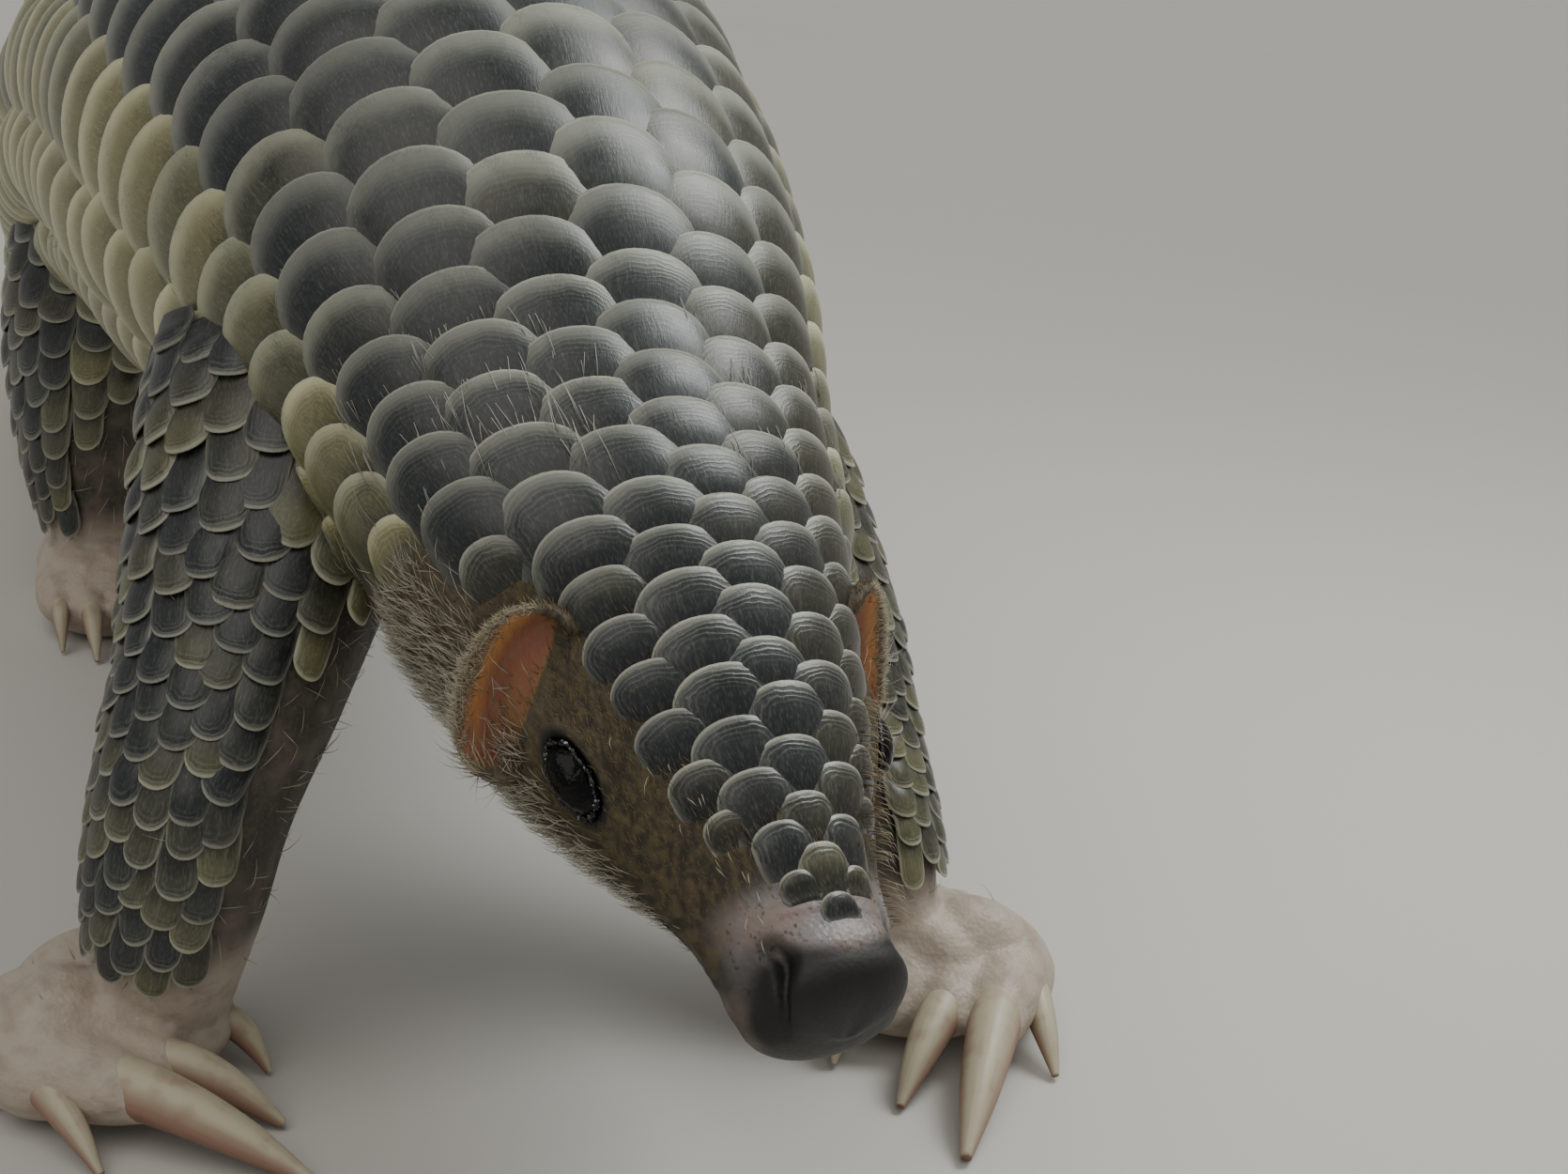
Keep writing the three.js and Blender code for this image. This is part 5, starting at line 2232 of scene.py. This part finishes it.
    def _from_spine(self, row: HairRow, random: Draws) -> Piece:
        """One kind of hair that comes up between scales.

        Args:
            row: the kind.
            random: the draws.
        Returns:
            The piece.
        """
        groups = row.count // row.bunch
        count = groups * row.bunch
        bunched = row.bunch > 1
        least, most = row.turned
        s = random.uniform(*row.stretch, groups)
        limit = np.maximum(shield_reach(s) + 2, least + 14)
        degrees = least + (np.minimum(most, limit) - least) * random.uniform(0, 1, groups)
        phi = np.radians(degrees * random.choice([-1, 1], groups))
        s = np.repeat(s, row.bunch) + random.normal(0, 1.2, count) * bunched
        phi = np.repeat(phi, row.bunch) + random.normal(0, 0.03, count) * bunched
        outs = SPINE.outward(s, phi)
        lies = self._lying(outs, SPINE.axes(s)[0], 0.13 if bunched else 0.22, random)
        length = random.uniform(*row.length, count)
        sizes = (row.radius, row.rise, row.droop)
        roots = SPINE.point(s, phi, 1.7 if bunched else 0.4)
        hairs = self._hairs(roots, -lies if row.nosewards else lies, outs, length, sizes, (s, phi), random)
        if row.right_share < 1:
            hairs = hairs.only((phi > 0) | (random.uniform(0, 1, count) < row.right_share))
        return self._finish(row.name, hairs, row.finish)


# Stage, light and camera


@dataclass(frozen=True)
class Studio:
    """A pale floor, soft light and the camera at the photograph's angle."""

    eye: tuple[float, float, float] = (-174.516, -278.387, 230.541)
    azimuth: float = math.radians(-29.93)
    elevation: float = math.radians(19.0)
    roll: float = math.radians(3.0)
    focal_share: float = 2620 / 1670
    sensor: float = 36.0
    floor: tuple[Colour, Colour] = (srgb(0xC9C7C2), srgb(0xCFCDC8))
    warm: Colour = srgb(0xFFFAF0)
    cool: Colour = srgb(0xF6F9F6)
    ambient: tuple[float, float, float, float] = (0.81, 0.82, 0.83, 1.0)
    ambient_strength: float = 0.38
    panel_side: float = 0.2
    panel_distance: float = 430.0

    def build(self) -> None:
        """Makes floor, lights and camera."""
        self._floor()
        self._light(self._lamp("SUN", "sky", 0.95, self.warm), (-0.40, -0.25, 0.88), 60.0)
        self._light(self._lamp("SUN", "back", 0.68, self.cool), (0.64, 0.20, 0.74), 30.0)
        self._panel(self._lamp("AREA", "nape", 1.25, self.cool), (10.0, 100.0, 146.0), (0.72, -0.04, 0.69))
        world = bpy.data.worlds.new("studio")
        bpy.context.scene.world = world
        world.use_nodes = True
        sky = world.node_tree.nodes["Background"]
        sky.inputs["Color"].default_value = self.ambient
        sky.inputs["Strength"].default_value = self.ambient_strength
        self._camera()

    def _floor(self) -> None:
        """A wide plain floor."""
        size, z = 60000.0, 0.0
        corners = np.array([[-size, -size, z], [size, -size, z], [size, size, z], [-size, size, z]])
        floor = Form(corners, [np.array([[0, 1, 2, 3]])]).object("floor")
        mix = Recipe("floor")
        base = mix.mix(mix.noise(3.0, 2.0), *self.floor)
        mix.dress(floor, {"Base Color": base, "Roughness": 0.9})

    @staticmethod
    def _lamp(kind: str, name: str, power: float, colour: Colour) -> Piece:
        """A light that isn't placed yet.

        Args:
            kind: "SUN" for a far light, "AREA" for a panel.
            name: its name.
            power: its strength, in watts for a panel.
            colour: its colour.
        Returns:
            The light.
        """
        lamp = bpy.data.lights.new(name, kind)
        lamp.energy = power
        lamp.color = colour
        holder = bpy.data.objects.new(name, lamp)
        bpy.context.scene.collection.objects.link(holder)
        return holder

    @staticmethod
    def _light(holder: Piece, towards: Sequence[float], spread: float) -> None:
        """Places a far, broad light.

        Args:
            holder: the light.
            towards: the direction from the pangolin to the light.
            spread: how wide it is, in degrees.
        """
        holder.data.angle = math.radians(spread)
        holder.rotation_euler = (-Vector(towards)).to_track_quat("-Z", "Y").to_euler()

    def _panel(self, holder: Piece, place: Sequence[float], towards: Sequence[float]) -> None:
        """Places a small soft panel near the pangolin, which the camera doesn't see.

        Args:
            holder: the light.
            place: what it shines on.
            towards: the direction from there to the panel.
        """
        away = unit(np.array(towards))
        holder.data.size = self.panel_side
        holder.location = Vector(in_frame(np.array(place) + away * self.panel_distance))
        holder.rotation_euler = (-Vector(away)).to_track_quat("-Z", "Y").to_euler()
        holder.visible_camera = False

    def _camera(self) -> None:
        """The camera, with the lens that the photograph's framing needs."""
        back = Vector((
            math.sin(self.azimuth) * math.cos(self.elevation),
            -math.cos(self.azimuth) * math.cos(self.elevation),
            math.sin(self.elevation),
        ))
        level = Vector((math.cos(self.azimuth), math.sin(self.azimuth), 0.0))
        upright = back.cross(level)
        right = level * math.cos(self.roll) + upright * math.sin(self.roll)
        up = upright * math.cos(self.roll) - level * math.sin(self.roll)
        data = bpy.data.cameras.new("camera")
        data.sensor_width = self.sensor
        data.lens = self.sensor * self.focal_share
        data.clip_start, data.clip_end = 0.01, 50.0
        holder = bpy.data.objects.new("camera", data)
        turn = Matrix((right, up, back)).transposed().to_4x4()
        holder.matrix_world = Matrix.Translation(Vector(in_frame(np.array(self.eye)))) @ turn
        bpy.context.scene.collection.objects.link(holder)
        bpy.context.scene.camera = holder


def report(pieces: Iterable[Piece]) -> None:
    """Logs each piece's name and size."""
    for piece in pieces:
        log.info("%s: %d faces", piece.name, len(piece.data.polygons))


def main() -> None:
    """Builds the pangolin, its stage and its light."""
    logging.basicConfig(level=logging.INFO, format="%(name)s %(message)s")
    random = np.random.default_rng(SEED)
    skins = [Head().build(), Trunk().build()]
    report(skins)
    report(Eyes().build())
    for foot in FEET:
        report(foot.build_claws(ClawFinish()))
    report(Scales().build(random))
    report(Fur().build(skins, random))
    Studio().build()


if __name__ == "__main__":
    main()
